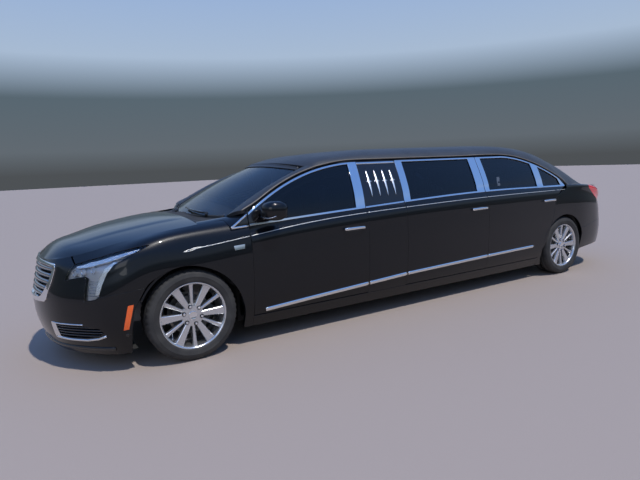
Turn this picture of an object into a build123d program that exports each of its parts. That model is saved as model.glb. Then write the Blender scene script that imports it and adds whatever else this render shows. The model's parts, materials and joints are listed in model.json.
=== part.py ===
"""Six-door stretch limousine with a padded roof, as an assembly of separate pieces.

Millimetres. +X is forward, +Y is the car's left and +Z is up. The origin is on the ground,
under the middle of the car's length and width.
"""

import os
from math import cos, radians, sin

from build123d import *

os.makedirs("parts", exist_ok=True)

# Whole car
LENGTH = 6880
WIDTH = 1852
FRONT_OVERHANG = 1015
REAR_OVERHANG = 1250
WHEELBASE = LENGTH - FRONT_OVERHANG - REAR_OVERHANG
GROUND_CLEARANCE = 155
HALF = WIDTH / 2
FRONT_X = LENGTH / 2
REAR_X = -LENGTH / 2
FRONT_AXLE = FRONT_X - FRONT_OVERHANG
REAR_AXLE = FRONT_AXLE - WHEELBASE

# Side section: heights, and how far each lies inside the widest line
ROCKER_INSET = 86
LOWER_Z, LOWER_INSET = 300, 33
BULGE_Z = 720
SHOULDER_Z, SHOULDER_INSET = 955, 26
BELT_Z, BELT_INSET = 1100, 68
RAIL_Z, RAIL_INSET = 1463, 278
ROOF_Z = 1585

# Walls and gaps
SHUT_GAP = 9
SKIN = 14
DOOR_DEPTH = 78
FRAME_DEPTH = 44
SHELL = 40
TIGHT = 0.3
GLASS = 5

# Doors, by x from the front axle to the front cut and the rear cut, and by frame widths beside the glass
DOOR_BOTTOM = 255
PILLAR_LEAN = 80
HINGE_BACK = 100
HINGE_INSET = 30
DOORS = (
    # name, front cut, rear cut, front frame, rear frame
    ("front", 500, 1650, 120, 100),
    ("middle", 2110, 3250, 85, 115),
    ("rear", 3250, 5200, 75, 60),
)
FRAME_TOP = 30
QUARTER_FRONT, QUARTER_POST = 4140, 105

# Wheels
TYRE_OD = 703
TYRE_WIDTH = 245
RIM_OD = 518
WHEEL_RADIUS = TYRE_OD / 2
WHEEL_Y = 790
FRONT_ARCH = 392
REAR_ARCH = 380


# Places along the car are given by their distance behind the front axle on the wheelbase as drawn
DRAWN_WHEELBASE = 4615
STRETCH_FROM, STRETCH_TO = 1650, 3250


def axle_x(back):
    """The x of a place as drawn: a longer or shorter car changes between the front and rear doors."""
    share = min(max((back - STRETCH_FROM) / (STRETCH_TO - STRETCH_FROM), 0), 1)
    return FRONT_AXLE - back - share * (WHEELBASE - DRAWN_WHEELBASE)


def belt_z(x):
    """Lower edge of the side glass: it rises gently to the rear and falls again."""
    knots = (
        # behind the front axle, below the belt height
        (350, 110),
        (1650, 50),
        (3300, 2),
        (4650, 20),
    )
    if x >= axle_x(knots[0][0]):
        return BELT_Z - knots[0][1]
    for (back_a, drop_a), (back_b, drop_b) in zip(knots, knots[1:]):
        front_x, rear_x = axle_x(back_a), axle_x(back_b)
        if x >= rear_x:
            share = (front_x - x) / (front_x - rear_x)
            return BELT_Z - drop_a - share * (drop_b - drop_a)
    return BELT_Z - knots[-1][1]


def side_edges(shift):
    """The car's side from sill to roof rail in the YZ plane, `shift` inside the outer skin."""
    sill = (HALF - ROCKER_INSET - shift, GROUND_CLEARANCE)
    lower = (HALF - LOWER_INSET - shift, LOWER_Z)
    bulge = (HALF - shift, BULGE_Z)
    shoulder = (HALF - SHOULDER_INSET - shift, SHOULDER_Z)
    belt = (HALF - BELT_INSET - shift, BELT_Z)
    rail = (HALF - RAIL_INSET - shift, RAIL_Z)
    crown_low = (HALF - LOWER_INSET * 0.28 - shift, (LOWER_Z + BULGE_Z) / 2)
    crown_high = (HALF - SHOULDER_INSET * 0.32 - shift, (BULGE_Z + SHOULDER_Z) / 2)
    glass_mid = ((belt[0] + rail[0]) / 2 + 9, (BELT_Z + RAIL_Z) / 2 + 5)
    Line(sill, lower)
    ThreePointArc(lower, crown_low, bulge)
    ThreePointArc(bulge, crown_high, shoulder)
    Line(shoulder, belt)
    ThreePointArc(belt, glass_mid, rail)
    return sill, rail


def side_slab(rear_x, front_x, outer, inner):
    """A wall that follows the left side, between two depths inside the outer skin."""
    with BuildPart() as slab:
        with BuildSketch(Plane.YZ.offset(rear_x)):
            with BuildLine():
                sill_out, rail_out = side_edges(outer)
                sill_in, rail_in = side_edges(inner)
                Line(sill_out, sill_in)
                Line(rail_out, rail_in)
            make_face()
        extrude(amount=front_x - rear_x)
    return slab.part


def aperture_lines():
    """The opening that all the doors of one side close, seen from the side."""
    front_low = (axle_x(500), DOOR_BOTTOM)
    front_top = (axle_x(500), RAIL_Z - 368)
    pillar_mid = (axle_x(1040), RAIL_Z - 108)
    rail_front = (axle_x(1725), RAIL_Z)
    rail_rear = (axle_x(3755), RAIL_Z)
    quarter_mid = (axle_x(4255), RAIL_Z - 110)
    tail = (axle_x(4660), RAIL_Z - 340)
    tail_low = (axle_x(4660), RAIL_Z - 382)
    waist = (axle_x(4430), SHOULDER_Z)
    arch_mid = (axle_x(4345), 640)
    arch_low = (axle_x(4150), DOOR_BOTTOM)
    Line(front_low, front_top)
    ThreePointArc(front_top, pillar_mid, rail_front)
    Line(rail_front, rail_rear)
    ThreePointArc(rail_rear, quarter_mid, tail)
    Line(tail, tail_low)
    Line(tail_low, waist)
    ThreePointArc(waist, arch_mid, arch_low)
    Line(arch_low, front_low)


def side_outline(inset, rear_x, front_x, low_z=None):
    """A block through the left side: the door opening, drawn in by `inset`, between two cuts
    that lean rearwards above the belt. With low_z, only what lies above that line."""
    top = RAIL_Z + 100
    if low_z:
        low = [(front_x, low_z(front_x)), (rear_x, low_z(rear_x))]
    else:
        low = [(front_x, BELT_Z), (front_x, 0), (rear_x, 0), (rear_x, BELT_Z)]
    with BuildPart() as outline:
        with BuildSketch(Plane.XZ.offset(-HALF - 50)):
            with BuildLine():
                aperture_lines()
            make_face()
            if inset:
                offset(amount=-inset, mode=Mode.REPLACE)
            with BuildLine():
                Polyline(*low, (rear_x - PILLAR_LEAN, top), (front_x - PILLAR_LEAN, top), close=True)
            make_face(mode=Mode.INTERSECT)
        extrude(amount=HALF + 50)
    return outline.part


def mirrored(solid):
    """The same piece on the car's right."""
    with BuildPart() as other:
        mirror(solid, about=Plane.XZ)
    return other.part


def common(first, *others):
    """What several solids share."""
    with BuildPart() as shared:
        add(first)
        for other in others:
            add(other, mode=Mode.INTERSECT)
    return shared.part


def without(first, *others):
    """The first solid with the others cut out of it."""
    with BuildPart() as rest:
        add(first)
        for other in others:
            add(other, mode=Mode.SUBTRACT)
    return rest.part


def joined(*solids):
    """Several solids as one."""
    with BuildPart() as whole:
        for solid in solids:
            add(solid)
    return whole.part


def block(x, y, z):
    """A box from three pairs of limits."""
    with BuildPart() as box:
        with Locations(((x[0] + x[1]) / 2, (y[0] + y[1]) / 2, (z[0] + z[1]) / 2)):
            Box(abs(x[1] - x[0]), abs(y[1] - y[0]), abs(z[1] - z[0]))
    return box.part


def cross_rod(x, z, radius, y0, y1):
    """A round bar across the car."""
    with BuildPart() as rod:
        with BuildSketch(Plane.XZ.offset(-y1)):
            with Locations((x, z)):
                Circle(radius)
        extrude(amount=y1 - y0)
    return rod.part


def post(x, y, radius, z0, z1):
    """A round upright bar."""
    with BuildPart() as rod:
        with BuildSketch(Plane.XY.offset(z0)):
            with Locations((x, y)):
                Circle(radius)
        extrude(amount=z1 - z0)
    return rod.part


def plan_block(points, z0, z1):
    """A straight-sided outline seen from above, extruded upwards."""
    with BuildPart() as piece:
        with BuildSketch(Plane.XY.offset(z0)):
            with BuildLine():
                Polyline(*points, close=True)
            make_face()
        extrude(amount=z1 - z0)
    return piece.part


def side_block(points, y0, y1, grow=0):
    """A straight-sided outline seen from the side, extruded across the car from y0 to y1."""
    with BuildPart() as piece:
        with BuildSketch(Plane.XZ.offset(-y1)):
            with BuildLine():
                Polyline(*points, close=True)
            make_face()
            if grow:
                offset(amount=grow, kind=Kind.INTERSECTION, mode=Mode.REPLACE)
        extrude(amount=y1 - y0)
    return piece.part


def front_block(points, x0, x1):
    """A straight-sided outline seen from the front, extruded forwards from x0 to x1."""
    with BuildPart() as piece:
        with BuildSketch(Plane.YZ.offset(x0)):
            with BuildLine():
                Polyline(*points, close=True)
            make_face()
        extrude(amount=x1 - x0)
    return piece.part


# Nose and tail, lofted through a few cross sections
NOSE = (
    # ahead of the front axle, half width, bulge z, shoulder inset, shoulder z, edge y, edge z, crown z
    (-500, HALF, BULGE_Z, SHOULDER_INSET, SHOULDER_Z, 805, 1035, 1080),
    (0, HALF, BULGE_Z - 10, 24, 930, 745, 1020, 1062),
    (450, HALF - 4, 690, 30, 870, 690, 955, 988),
    (800, HALF - 40, 640, 40, 790, 560, 865, 897),
    (FRONT_OVERHANG + 25, HALF - 120, 600, 60, 700, 450, 795, 830),
)
TAIL = (
    # ahead of the rear axle, then as above
    (490, HALF, BULGE_Z, SHOULDER_INSET, SHOULDER_Z, 835, 1068, 1075),
    (-400, HALF, BULGE_Z, 28, 960, 800, 1062, 1080),
    (-850, HALF - 24, 715, 36, 950, 745, 1040, 1064),
    (-1275, HALF - 100, 690, 50, 900, 670, 985, 1003),
)


def body_loft(axle, stations, wall):
    """One end of the body as a solid, `wall` inside the outer skin."""
    with BuildPart() as body:
        for ahead, half, bulge, inset, shoulder, edge_y, edge_z, crown in stations:
            with BuildSketch(Plane.YZ.offset(axle + ahead)):
                with BuildLine():
                    left = [
                        (half - ROCKER_INSET - wall, GROUND_CLEARANCE + wall),
                        (half - LOWER_INSET - wall, LOWER_Z + wall / 2),
                        (half - wall, bulge),
                        (half - inset - wall, shoulder - wall / 4),
                        (edge_y - wall / 2, edge_z - wall),
                        (0, crown - wall),
                    ]
                    right = [(-y, z) for y, z in reversed(left[:-1])]
                    Polyline(*left, *right, close=True)
                make_face()
        loft(ruled=True)
    return body.part


def nose_limits(wall):
    """The rounded front, seen from above and from the side, `wall` inside the skin."""
    tip = FRONT_X - wall
    with BuildPart() as plan:
        with BuildSketch():
            with BuildLine():
                corner = (FRONT_AXLE + 380, HALF + 30 - wall)
                turn = (tip - 135, 520 - wall / 2)
                ThreePointArc(corner, (FRONT_AXLE + 655 - wall, 790 - wall), turn)
                ThreePointArc(turn, (tip - 32, 265), (tip, 0))
                ThreePointArc((tip, 0), (tip - 32, -265), (turn[0], -turn[1]))
                ThreePointArc(
                    (turn[0], -turn[1]),
                    (FRONT_AXLE + 655 - wall, -790 + wall),
                    (corner[0], -corner[1]),
                )
                Polyline(
                    (corner[0], -corner[1]),
                    (axle_x(500), -corner[1]),
                    (axle_x(500), corner[1]),
                    corner,
                )
            make_face()
        extrude(amount=ROOF_Z)
    face = side_block(
        (
            (axle_x(500), 0),
            (tip - 90, 0),
            (tip - 90, GROUND_CLEARANCE + wall),
            (tip - 8, 300),
            (tip, 420),
            (tip, 520),
            (tip - 22, 640),
            (tip - 50, 790),
            (tip - 95, 850),
            (tip - 160, ROOF_Z),
            (axle_x(500), ROOF_Z),
        ),
        -WIDTH,
        WIDTH,
    )
    return plan.part, face


def tail_limits(wall):
    """The rounded rear, seen from above and from the side, `wall` inside the skin."""
    tip = REAR_X + wall
    start = REAR_AXLE + 490
    with BuildPart() as plan:
        with BuildSketch():
            with BuildLine():
                corner = (tip + 690 - wall, HALF + 12 - wall)
                turn = (tip + 110, 620 - wall / 2)
                ThreePointArc(corner, (tip + 330, 800 - wall), turn)
                ThreePointArc(turn, (tip + 18, 330), (tip, 0))
                ThreePointArc((tip, 0), (tip + 18, -330), (turn[0], -turn[1]))
                ThreePointArc(
                    (turn[0], -turn[1]), (tip + 330, -800 + wall), (corner[0], -corner[1])
                )
                Polyline(
                    (corner[0], -corner[1]),
                    (start, -corner[1]),
                    (start, corner[1]),
                    corner,
                )
            make_face()
        extrude(amount=ROOF_Z)
    face = side_block(
        (
            (start, 0),
            (tip + 90, 0),
            (tip + 60, GROUND_CLEARANCE + wall),
            (tip + 12, 420),
            (tip, 480),
            (tip, 590),
            (tip + 25, 640),
            (tip + 42, 960),
            (tip + 30, ROOF_Z),
            (start, ROOF_Z),
        ),
        -WIDTH,
        WIDTH,
    )
    return plan.part, face


nose_solid = common(body_loft(FRONT_AXLE, NOSE, 0), *nose_limits(0))
nose_inner = common(body_loft(FRONT_AXLE, NOSE, SHELL), *nose_limits(SHELL))
nose_core = common(body_loft(FRONT_AXLE, NOSE, SHELL + TIGHT), *nose_limits(SHELL + TIGHT))
tail_solid = common(body_loft(REAR_AXLE, TAIL, 0), *tail_limits(0))
tail_inner = common(body_loft(REAR_AXLE, TAIL, SHELL), *tail_limits(SHELL))
tail_core = common(body_loft(REAR_AXLE, TAIL, SHELL + TIGHT), *tail_limits(SHELL + TIGHT))
nose_shell = without(nose_solid, nose_inner)
tail_shell = without(tail_solid, tail_inner)

# Wheel openings
FRONT_WELL = 476
REAR_WELL = 615
WELL_WALL = 16
front_arches = cross_rod(FRONT_AXLE, WHEEL_RADIUS, FRONT_ARCH, -WIDTH, WIDTH)
rear_arches = joined(
    cross_rod(REAR_AXLE, WHEEL_RADIUS, REAR_ARCH, REAR_WELL, WIDTH),
    cross_rod(REAR_AXLE, WHEEL_RADIUS, REAR_ARCH, -WIDTH, -REAR_WELL),
)


# Roof and fixed glass
WINDSCREEN_BASE = (axle_x(195), 1050)
WINDSCREEN_TOP = (axle_x(1025), ROOF_Z - 113)
BACKLIGHT_TOP = (axle_x(4900), ROOF_Z - 180)
BACKLIGHT_BASE = (axle_x(5555), 1050)
CABIN_FLOOR = 940


def cabin(wall):
    """The roof and its pillars as a solid, `wall` inside the outer skin."""
    with BuildPart() as across:
        with BuildSketch(Plane.XZ.offset(-HALF)):
            with BuildLine():
                roof_front = (axle_x(2050), ROOF_Z - 6)
                roof_rear = (axle_x(3900), ROOF_Z)
                ThreePointArc(WINDSCREEN_BASE, (axle_x(600), ROOF_Z - 303), WINDSCREEN_TOP)
                ThreePointArc(WINDSCREEN_TOP, (axle_x(1480), ROOF_Z - 43), roof_front)
                Line(roof_front, roof_rear)
                ThreePointArc(roof_rear, (axle_x(4440), ROOF_Z - 55), BACKLIGHT_TOP)
                ThreePointArc(BACKLIGHT_TOP, (axle_x(5240), ROOF_Z - 342), BACKLIGHT_BASE)
                Polyline(
                    BACKLIGHT_BASE,
                    (BACKLIGHT_BASE[0], CABIN_FLOOR - 100),
                    (WINDSCREEN_BASE[0], CABIN_FLOOR - 100),
                    WINDSCREEN_BASE,
                )
            make_face()
            if wall:
                offset(amount=-wall, mode=Mode.REPLACE)
        extrude(amount=WIDTH)
    with BuildPart() as along:
        with BuildSketch(Plane.YZ.offset(BACKLIGHT_BASE[0] - 10)):
            with BuildLine():
                base = (HALF - SHOULDER_INSET - wall, CABIN_FLOOR - 100)
                belt = (HALF - BELT_INSET - wall, BELT_Z)
                rail = (HALF - RAIL_INSET - wall, RAIL_Z)
                hip = (HALF - RAIL_INSET - 150 - wall, ROOF_Z - 38 - wall)
                top = (0, ROOF_Z - wall)
                Polyline((0, base[1]), base, (HALF - SHOULDER_INSET - wall, SHOULDER_Z), belt)
                ThreePointArc(belt, ((belt[0] + rail[0]) / 2 + 9, (BELT_Z + RAIL_Z) / 2 + 5), rail)
                ThreePointArc(rail, ((rail[0] + hip[0]) / 2 + 12, (rail[1] + hip[1]) / 2 + 16), hip)
                ThreePointArc(hip, (hip[0] / 2, ROOF_Z - 9 - wall), top)
                Line(top, (0, base[1]))
            make_face()
            mirror(about=Plane.YZ)
        extrude(amount=WINDSCREEN_BASE[0] - BACKLIGHT_BASE[0] + 20)
    narrow = plan_block(
        (
            (WINDSCREEN_BASE[0] + 40, 690 - wall),
            (axle_x(500), HALF - wall),
            (axle_x(4600), HALF - wall),
            (BACKLIGHT_BASE[0] - 20, 665 - wall),
            (BACKLIGHT_BASE[0] - 20, -665 + wall),
            (axle_x(4600), -HALF + wall),
            (axle_x(500), -HALF + wall),
            (WINDSCREEN_BASE[0] + 40, -690 + wall),
        ),
        CABIN_FLOOR,
        ROOF_Z + 10,
    )
    return common(across.part, along.part, narrow)


def windscreen_zone(tight):
    return front_block(
        (
            (-680 + tight, 1000),
            (-540 + tight, WINDSCREEN_TOP[1] - 45 - tight),
            (540 - tight, WINDSCREEN_TOP[1] - 45 - tight),
            (680 - tight, 1000),
        ),
        WINDSCREEN_TOP[0] - 200,
        FRONT_AXLE,
    )


def backlight_zone(tight):
    return front_block(
        (
            (-600 + tight, 1000),
            (-500 + tight, BACKLIGHT_TOP[1] - 10 - tight),
            (500 - tight, BACKLIGHT_TOP[1] - 10 - tight),
            (600 - tight, 1000),
        ),
        BACKLIGHT_BASE[0] - 50,
        BACKLIGHT_TOP[0] + 120,
    )


def aperture(inset, depth=HALF - 250):
    """The whole door opening of the left side as a block, drawn in by `inset`."""
    with BuildPart() as hole:
        with BuildSketch(Plane.XZ.offset(-HALF - 50)):
            with BuildLine():
                aperture_lines()
            make_face()
            if inset:
                offset(amount=-inset, mode=Mode.REPLACE)
        extrude(amount=depth + 50)
    return hole.part


cabin_solid = cabin(0)
cabin_inner = cabin(SHELL)
left_aperture = aperture(0)
right_aperture = mirrored(left_aperture)
low_cut = block((REAR_X, FRONT_X), (-HALF, HALF), (0, CABIN_FLOOR + 20))

with BuildPart() as roof:
    add(cabin_solid)
    add(cabin_inner, mode=Mode.SUBTRACT)
    for cutter in (
        left_aperture,
        right_aperture,
        windscreen_zone(0),
        backlight_zone(0),
        nose_solid,
        tail_solid,
        low_cut,
    ):
        add(cutter, mode=Mode.SUBTRACT)

GLASS_SET = 4
glass_shell = without(cabin(GLASS_SET), cabin(GLASS_SET + GLASS), low_cut)
with BuildPart() as windscreen:
    add(glass_shell)
    add(windscreen_zone(TIGHT), mode=Mode.INTERSECT)
    add(nose_solid, mode=Mode.SUBTRACT)

with BuildPart() as rear_window:
    add(glass_shell)
    add(backlight_zone(TIGHT), mode=Mode.INTERSECT)
    add(tail_solid, mode=Mode.SUBTRACT)

# Doors: a thin outer skin over the whole outline, and a deeper box set back from its edges
RING_OUTER = 145
RING_INNER = 190
RING_UPPER = 84
RING_WALL = 24
BOX_STEP = 25
HINGE_RECESS = 138
FRAME_RECESS = 62
RECESS_STEP_Z = BELT_Z - 70
RECESS_TOP_Z = BELT_Z + 170
KNUCKLE = 7
KNUCKLE_HEIGHT = 42
HINGE_HEIGHTS = (560, 815)


def door_cuts(front, rear):
    """The x of a door's two edges, half a shut gap inside the cut lines."""
    return axle_x(rear) + SHUT_GAP / 2, axle_x(front) - SHUT_GAP / 2


def window_blocks(name, front, rear, front_frame, rear_frame, tight):
    """Each window of a door as a block through the side."""
    inset = SHUT_GAP + FRAME_TOP + tight
    front_x = axle_x(front + front_frame) - tight
    rear_x = axle_x(rear - rear_frame) + tight

    def sill(x):
        return belt_z(x) + tight

    if name != "rear":
        return [side_outline(inset, rear_x, front_x, sill)]
    main_rear = axle_x(QUARTER_FRONT) + tight
    quarter_front = axle_x(QUARTER_FRONT + QUARTER_POST) - tight
    return [
        side_outline(inset, main_rear, front_x, sill),
        side_outline(inset, rear_x, quarter_front, sill),
    ]


whole_x = (axle_x(4900), axle_x(450))
skin_slab = side_slab(*whole_x, 0, SKIN)
with BuildPart() as box_slab:
    with BuildSketch(Plane.YZ.offset(whole_x[0])):
        with BuildLine():
            low_out, rail_out = side_edges(SKIN)
            Polyline(
                low_out,
                (HALF - ROCKER_INSET - 30, GROUND_CLEARANCE),
                (HALF - DOOR_DEPTH, LOWER_Z),
                (HALF - DOOR_DEPTH, BELT_Z - 130),
                (HALF - BELT_INSET - FRAME_DEPTH, BELT_Z),
                (HALF - RAIL_INSET - FRAME_DEPTH, RAIL_Z),
                rail_out,
            )
        make_face()
    extrude(amount=whole_x[1] - whole_x[0])
glass_slab = side_slab(*whole_x, GLASS_SET, GLASS_SET + GLASS)

hinge_y = HALF - HINGE_INSET
doors = {}
windows = {}
hinge_axes = {}
for name, front, rear, front_frame, rear_frame in DOORS:
    door_rear, door_front = door_cuts(front, rear)
    hinge_x = axle_x(front + HINGE_BACK)
    hinge_axes[name] = hinge_x
    outline = side_outline(SHUT_GAP, door_rear, door_front)
    box_outline = side_outline(SHUT_GAP + BOX_STEP, door_rear + BOX_STEP, door_front - BOX_STEP)
    low_recess = block(
        (axle_x(front + HINGE_RECESS), door_front + 10), (0, HALF), (0, RECESS_STEP_Z)
    )
    high_recess = block(
        (axle_x(front + FRAME_RECESS), door_front + 10), (0, HALF), (RECESS_STEP_Z, RECESS_TOP_Z)
    )
    openings = window_blocks(name, front, rear, front_frame, rear_frame, 0)
    with BuildPart() as skin:
        add(skin_slab)
        add(outline, mode=Mode.INTERSECT)
    with BuildPart() as door:
        add(box_slab.part)
        add(box_outline, mode=Mode.INTERSECT)
        add(low_recess, mode=Mode.SUBTRACT)
        add(high_recess, mode=Mode.SUBTRACT)
        add(skin.part)
        for opening in openings:
            add(opening, mode=Mode.SUBTRACT)
        for low in HINGE_HEIGHTS:
            add(post(hinge_x, hinge_y, KNUCKLE, low, low + KNUCKLE_HEIGHT))
            add(
                block(
                    (axle_x(front + HINGE_RECESS) - 5, hinge_x),
                    (hinge_y - KNUCKLE, hinge_y + KNUCKLE),
                    (low, low + KNUCKLE_HEIGHT),
                )
            )
    doors[name] = door.part
    glazing = window_blocks(name, front, rear, front_frame, rear_frame, TIGHT)
    with BuildPart() as window:
        for pane in glazing:
            add(common(glass_slab, pane))
    windows[name] = window.part

outside_cabin = without(
    block((REAR_X, FRONT_X), (-HALF, HALF), (CABIN_FLOOR + 80, ROOF_Z + 50)), cabin_inner
)

# Left side of the body: rocker, filler panel, quarter panel and the ring of pillars inside the doors
with BuildPart() as ring:
    with BuildSketch(Plane.YZ.offset(axle_x(4860))):
        with BuildLine():
            Polyline(
                (HALF - RING_OUTER, GROUND_CLEARANCE),
                (HALF - RING_OUTER, BELT_Z - 110),
                (HALF - BELT_INSET - RING_UPPER, BELT_Z),
                (HALF - RAIL_INSET - RING_UPPER, RAIL_Z),
                (HALF - RAIL_INSET - RING_UPPER - 40, RAIL_Z + 48),
                (HALF - RAIL_INSET - RING_UPPER - 85, RAIL_Z + 30),
                (HALF - RAIL_INSET - RING_UPPER - RING_WALL, RAIL_Z),
                (HALF - BELT_INSET - RING_UPPER - RING_WALL, BELT_Z),
                (HALF - RING_INNER, BELT_Z - 110),
                (HALF - RING_INNER, GROUND_CLEARANCE),
                close=True,
            )
        make_face()
    extrude(amount=axle_x(440) - axle_x(4860))
    for name, front, rear, front_frame, rear_frame in DOORS:
        door_rear, door_front = door_cuts(front, rear)
        add(
            side_outline(SHUT_GAP + 62, door_rear + 62, door_front - HINGE_RECESS - 12),
            mode=Mode.SUBTRACT,
        )
    add(rear_arches, mode=Mode.SUBTRACT)
    add(nose_solid, mode=Mode.SUBTRACT)
    add(roof.part, mode=Mode.SUBTRACT)
    add(outside_cabin, mode=Mode.SUBTRACT)

filler_front, filler_rear = axle_x(1650) - SHUT_GAP / 2, axle_x(2110) + SHUT_GAP / 2
ROCKER_REAR = REAR_AXLE + REAR_ARCH + 20
rocker = common(
    side_slab(ROCKER_REAR, axle_x(500), 0, RING_OUTER + 60),
    block((ROCKER_REAR, axle_x(500)), (HALF - RING_OUTER - 5, HALF), (0, DOOR_BOTTOM)),
)
filler = joined(
    common(
        side_slab(filler_rear - PILLAR_LEAN - 10, filler_front, 0, SKIN),
        side_outline(0, filler_rear, filler_front),
    ),
    common(
        side_slab(filler_rear - PILLAR_LEAN - 10, filler_front, 0, RING_UPPER + 2),
        side_outline(0, filler_rear + BOX_STEP, filler_front - BOX_STEP),
    ),
    common(
        side_slab(filler_rear - PILLAR_LEAN - 10, filler_front, 0, RING_OUTER + 60),
        block(
            (filler_rear + BOX_STEP, filler_front - BOX_STEP),
            (HALF - RING_OUTER - 5, HALF),
            (0, BELT_Z - 140),
        ),
        side_outline(0, filler_rear, filler_front),
    ),
)

# Rear: lid, bumper, lamps and quarter panels are cut from one shell
LID_FRONT = axle_x(5562)
LID_HALF = 650
LID_LOW = 625
BUMPER_TOP = 600
BUMPER_FRONT = REAR_AXLE - REAR_ARCH - 60
CUT_GAP = 5
LAMP_POINTS = (
    # behind the front axle, height
    (5420, 1030),
    (5900, 1030),
    (5900, 740),
    (5760, 740),
    (5660, 800),
    (5560, 930),
)
seat_shelf_x = axle_x(4720)


LID_HINGE_Z = 1050
LID_KNUCKLE = 5
LID_KNUCKLE_Y = (130, 165, 200)


def knuckles(x, z, radius, y0, y1):
    """The same stretch of a hinge line on both sides of the car."""
    left = cross_rod(x, z, radius, y0, y1)
    return joined(left, mirrored(left))


def lid_knuckle(radius, y0, y1):
    return knuckles(LID_FRONT, LID_HINGE_Z, radius, y0, y1)


def lid_zone(gap):
    half = LID_HALF + gap
    return block((REAR_X - 10, LID_FRONT + gap), (-half, half), (LID_LOW - gap, ROOF_Z))


def bumper_zone(gap):
    return block((REAR_X - 10, BUMPER_FRONT + gap), (-HALF, HALF), (0, BUMPER_TOP + gap))


def tail_lamp_zone(gap):
    points = [(axle_x(back), z) for back, z in LAMP_POINTS]
    return side_block(points, LID_HALF + CUT_GAP - gap, HALF, gap)


knuckle_y0, knuckle_y1, knuckle_y2 = LID_KNUCKLE_Y
with BuildPart() as trunk_lid:
    add(tail_shell)
    add(lid_zone(0), mode=Mode.INTERSECT)
    add(lid_knuckle(LID_KNUCKLE + 1, knuckle_y1, knuckle_y2 + 1), mode=Mode.SUBTRACT)
    add(lid_knuckle(LID_KNUCKLE, knuckle_y0, knuckle_y1))

tail_lamp_left = without(common(tail_shell, tail_lamp_zone(0)), lid_zone(CUT_GAP))
with BuildPart() as tail_lamps:
    add(tail_lamp_left)
    mirror(tail_lamp_left, about=Plane.XZ)

with BuildPart() as rear_bumper:
    add(tail_shell)
    add(bumper_zone(0), mode=Mode.INTERSECT)
    add(rear_arches, mode=Mode.SUBTRACT)
    add(lid_zone(CUT_GAP), mode=Mode.SUBTRACT)

BOTTOM_TOP = GROUND_CLEARANCE + SHELL + 5
TAIL_BOTTOM_HALF = HALF - 110
TRAY_HALF = HALF - 115
quarter_bottom = block(
    (REAR_X, REAR_AXLE + 600), (-TAIL_BOTTOM_HALF, TAIL_BOTTOM_HALF), (0, BOTTOM_TOP)
)
shelf = block(
    (LID_FRONT + CUT_GAP, seat_shelf_x), (-HALF + 160, HALF - 160), (BELT_Z - 120, ROOF_Z)
)
with BuildPart() as quarter:
    add(tail_shell)
    add(block((REAR_X, REAR_AXLE + 600), (0, HALF), (0, ROOF_Z)), mode=Mode.INTERSECT)
    for cutter in (
        left_aperture,
        lid_zone(CUT_GAP + 1),
        bumper_zone(TIGHT),
        tail_lamp_zone(TIGHT),
        rear_arches,
        quarter_bottom,
        block((REAR_X, REAR_AXLE + 600), (-HALF, HALF - 160), (BELT_Z - 120, ROOF_Z)),
        roof.part,
    ):
        add(cutter, mode=Mode.SUBTRACT)

with BuildPart() as body_side_left:
    add(ring.part)
    add(rocker)
    add(filler)
    add(quarter.part)
    for name, front, rear, front_frame, rear_frame in DOORS:
        door_rear, door_front = door_cuts(front, rear)
        for low in HINGE_HEIGHTS:
            top = low - TIGHT
            add(post(hinge_axes[name], hinge_y, KNUCKLE, top - KNUCKLE_HEIGHT, top))
            add(
                block(
                    (hinge_axes[name] - 28, hinge_axes[name] - 5),
                    (HALF - RING_OUTER - 10, hinge_y),
                    (top - KNUCKLE_HEIGHT, top),
                )
            )

# Front: hood, bumper, lamps, grille and fenders are cut from one shell
HOOD_REAR = axle_x(128)
COWL_HALF = 700
HOOD_LINE = (
    # ahead of the front axle, half width of the hood
    (-128, 690),
    (120, 706),
    (300, 692),
    (560, 612),
    (760, 480),
    (850, 385),
    (908, 250),
    (922, 0),
)
HEADLAMP_POINTS = (
    # ahead of the front axle, height
    (262, 950),
    (560, 905),
    (860, 835),
    (862, 668),
    (740, 655),
    (728, 545),
    (640, 558),
    (560, 705),
    (262, 915),
)
HEADLAMP_INNER = 410
GRILLE_POINTS = ((405, 800), (372, 660), (258, 505), (0, 490))
GRILLE_SLOTS = 5
FRONT_BUMPER_TOP = 556
BUMPER_REAR = FRONT_AXLE + 300


def hood_zone(gap):
    left = [(FRONT_AXLE + ahead, half + (gap if half else 0)) for ahead, half in HOOD_LINE]
    left[0] = (left[0][0] - gap, left[0][1])
    left[-1] = (left[-1][0] + gap, 0)
    right = [(x, -y) for x, y in reversed(left[:-1])]
    return plan_block(left + right, 720, ROOF_Z)


def headlamp_zone(gap):
    points = [(FRONT_AXLE + ahead, z) for ahead, z in HEADLAMP_POINTS]
    return side_block(points, HEADLAMP_INNER - gap, HALF, gap)


def grille_zone(gap):
    left = [(y + (gap if y else 0), z + (gap if z > 600 else -gap)) for y, z in GRILLE_POINTS]
    right = [(-y, z) for y, z in reversed(left[:-1])]
    return front_block(left + right, FRONT_X - 190, FRONT_X)


def front_bumper_zone(gap):
    return block((BUMPER_REAR, FRONT_X), (-HALF, HALF), (0, FRONT_BUMPER_TOP + gap))


cowl_zone = block((axle_x(500), HOOD_REAR - CUT_GAP), (-COWL_HALF, COWL_HALF), (900, ROOF_Z))
undertray_cut = block((axle_x(500), BUMPER_REAR), (-TRAY_HALF, TRAY_HALF), (0, BOTTOM_TOP))

HOOD_HINGE_Z = 1062
HOOD_KNUCKLE = 3
with BuildPart() as hood:
    add(nose_shell)
    add(hood_zone(0), mode=Mode.INTERSECT)
    add(
        knuckles(HOOD_REAR, HOOD_HINGE_Z, HOOD_KNUCKLE + 1, knuckle_y1, knuckle_y2 + 1),
        mode=Mode.SUBTRACT,
    )
    add(knuckles(HOOD_REAR, HOOD_HINGE_Z, HOOD_KNUCKLE, knuckle_y0, knuckle_y1))

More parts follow.
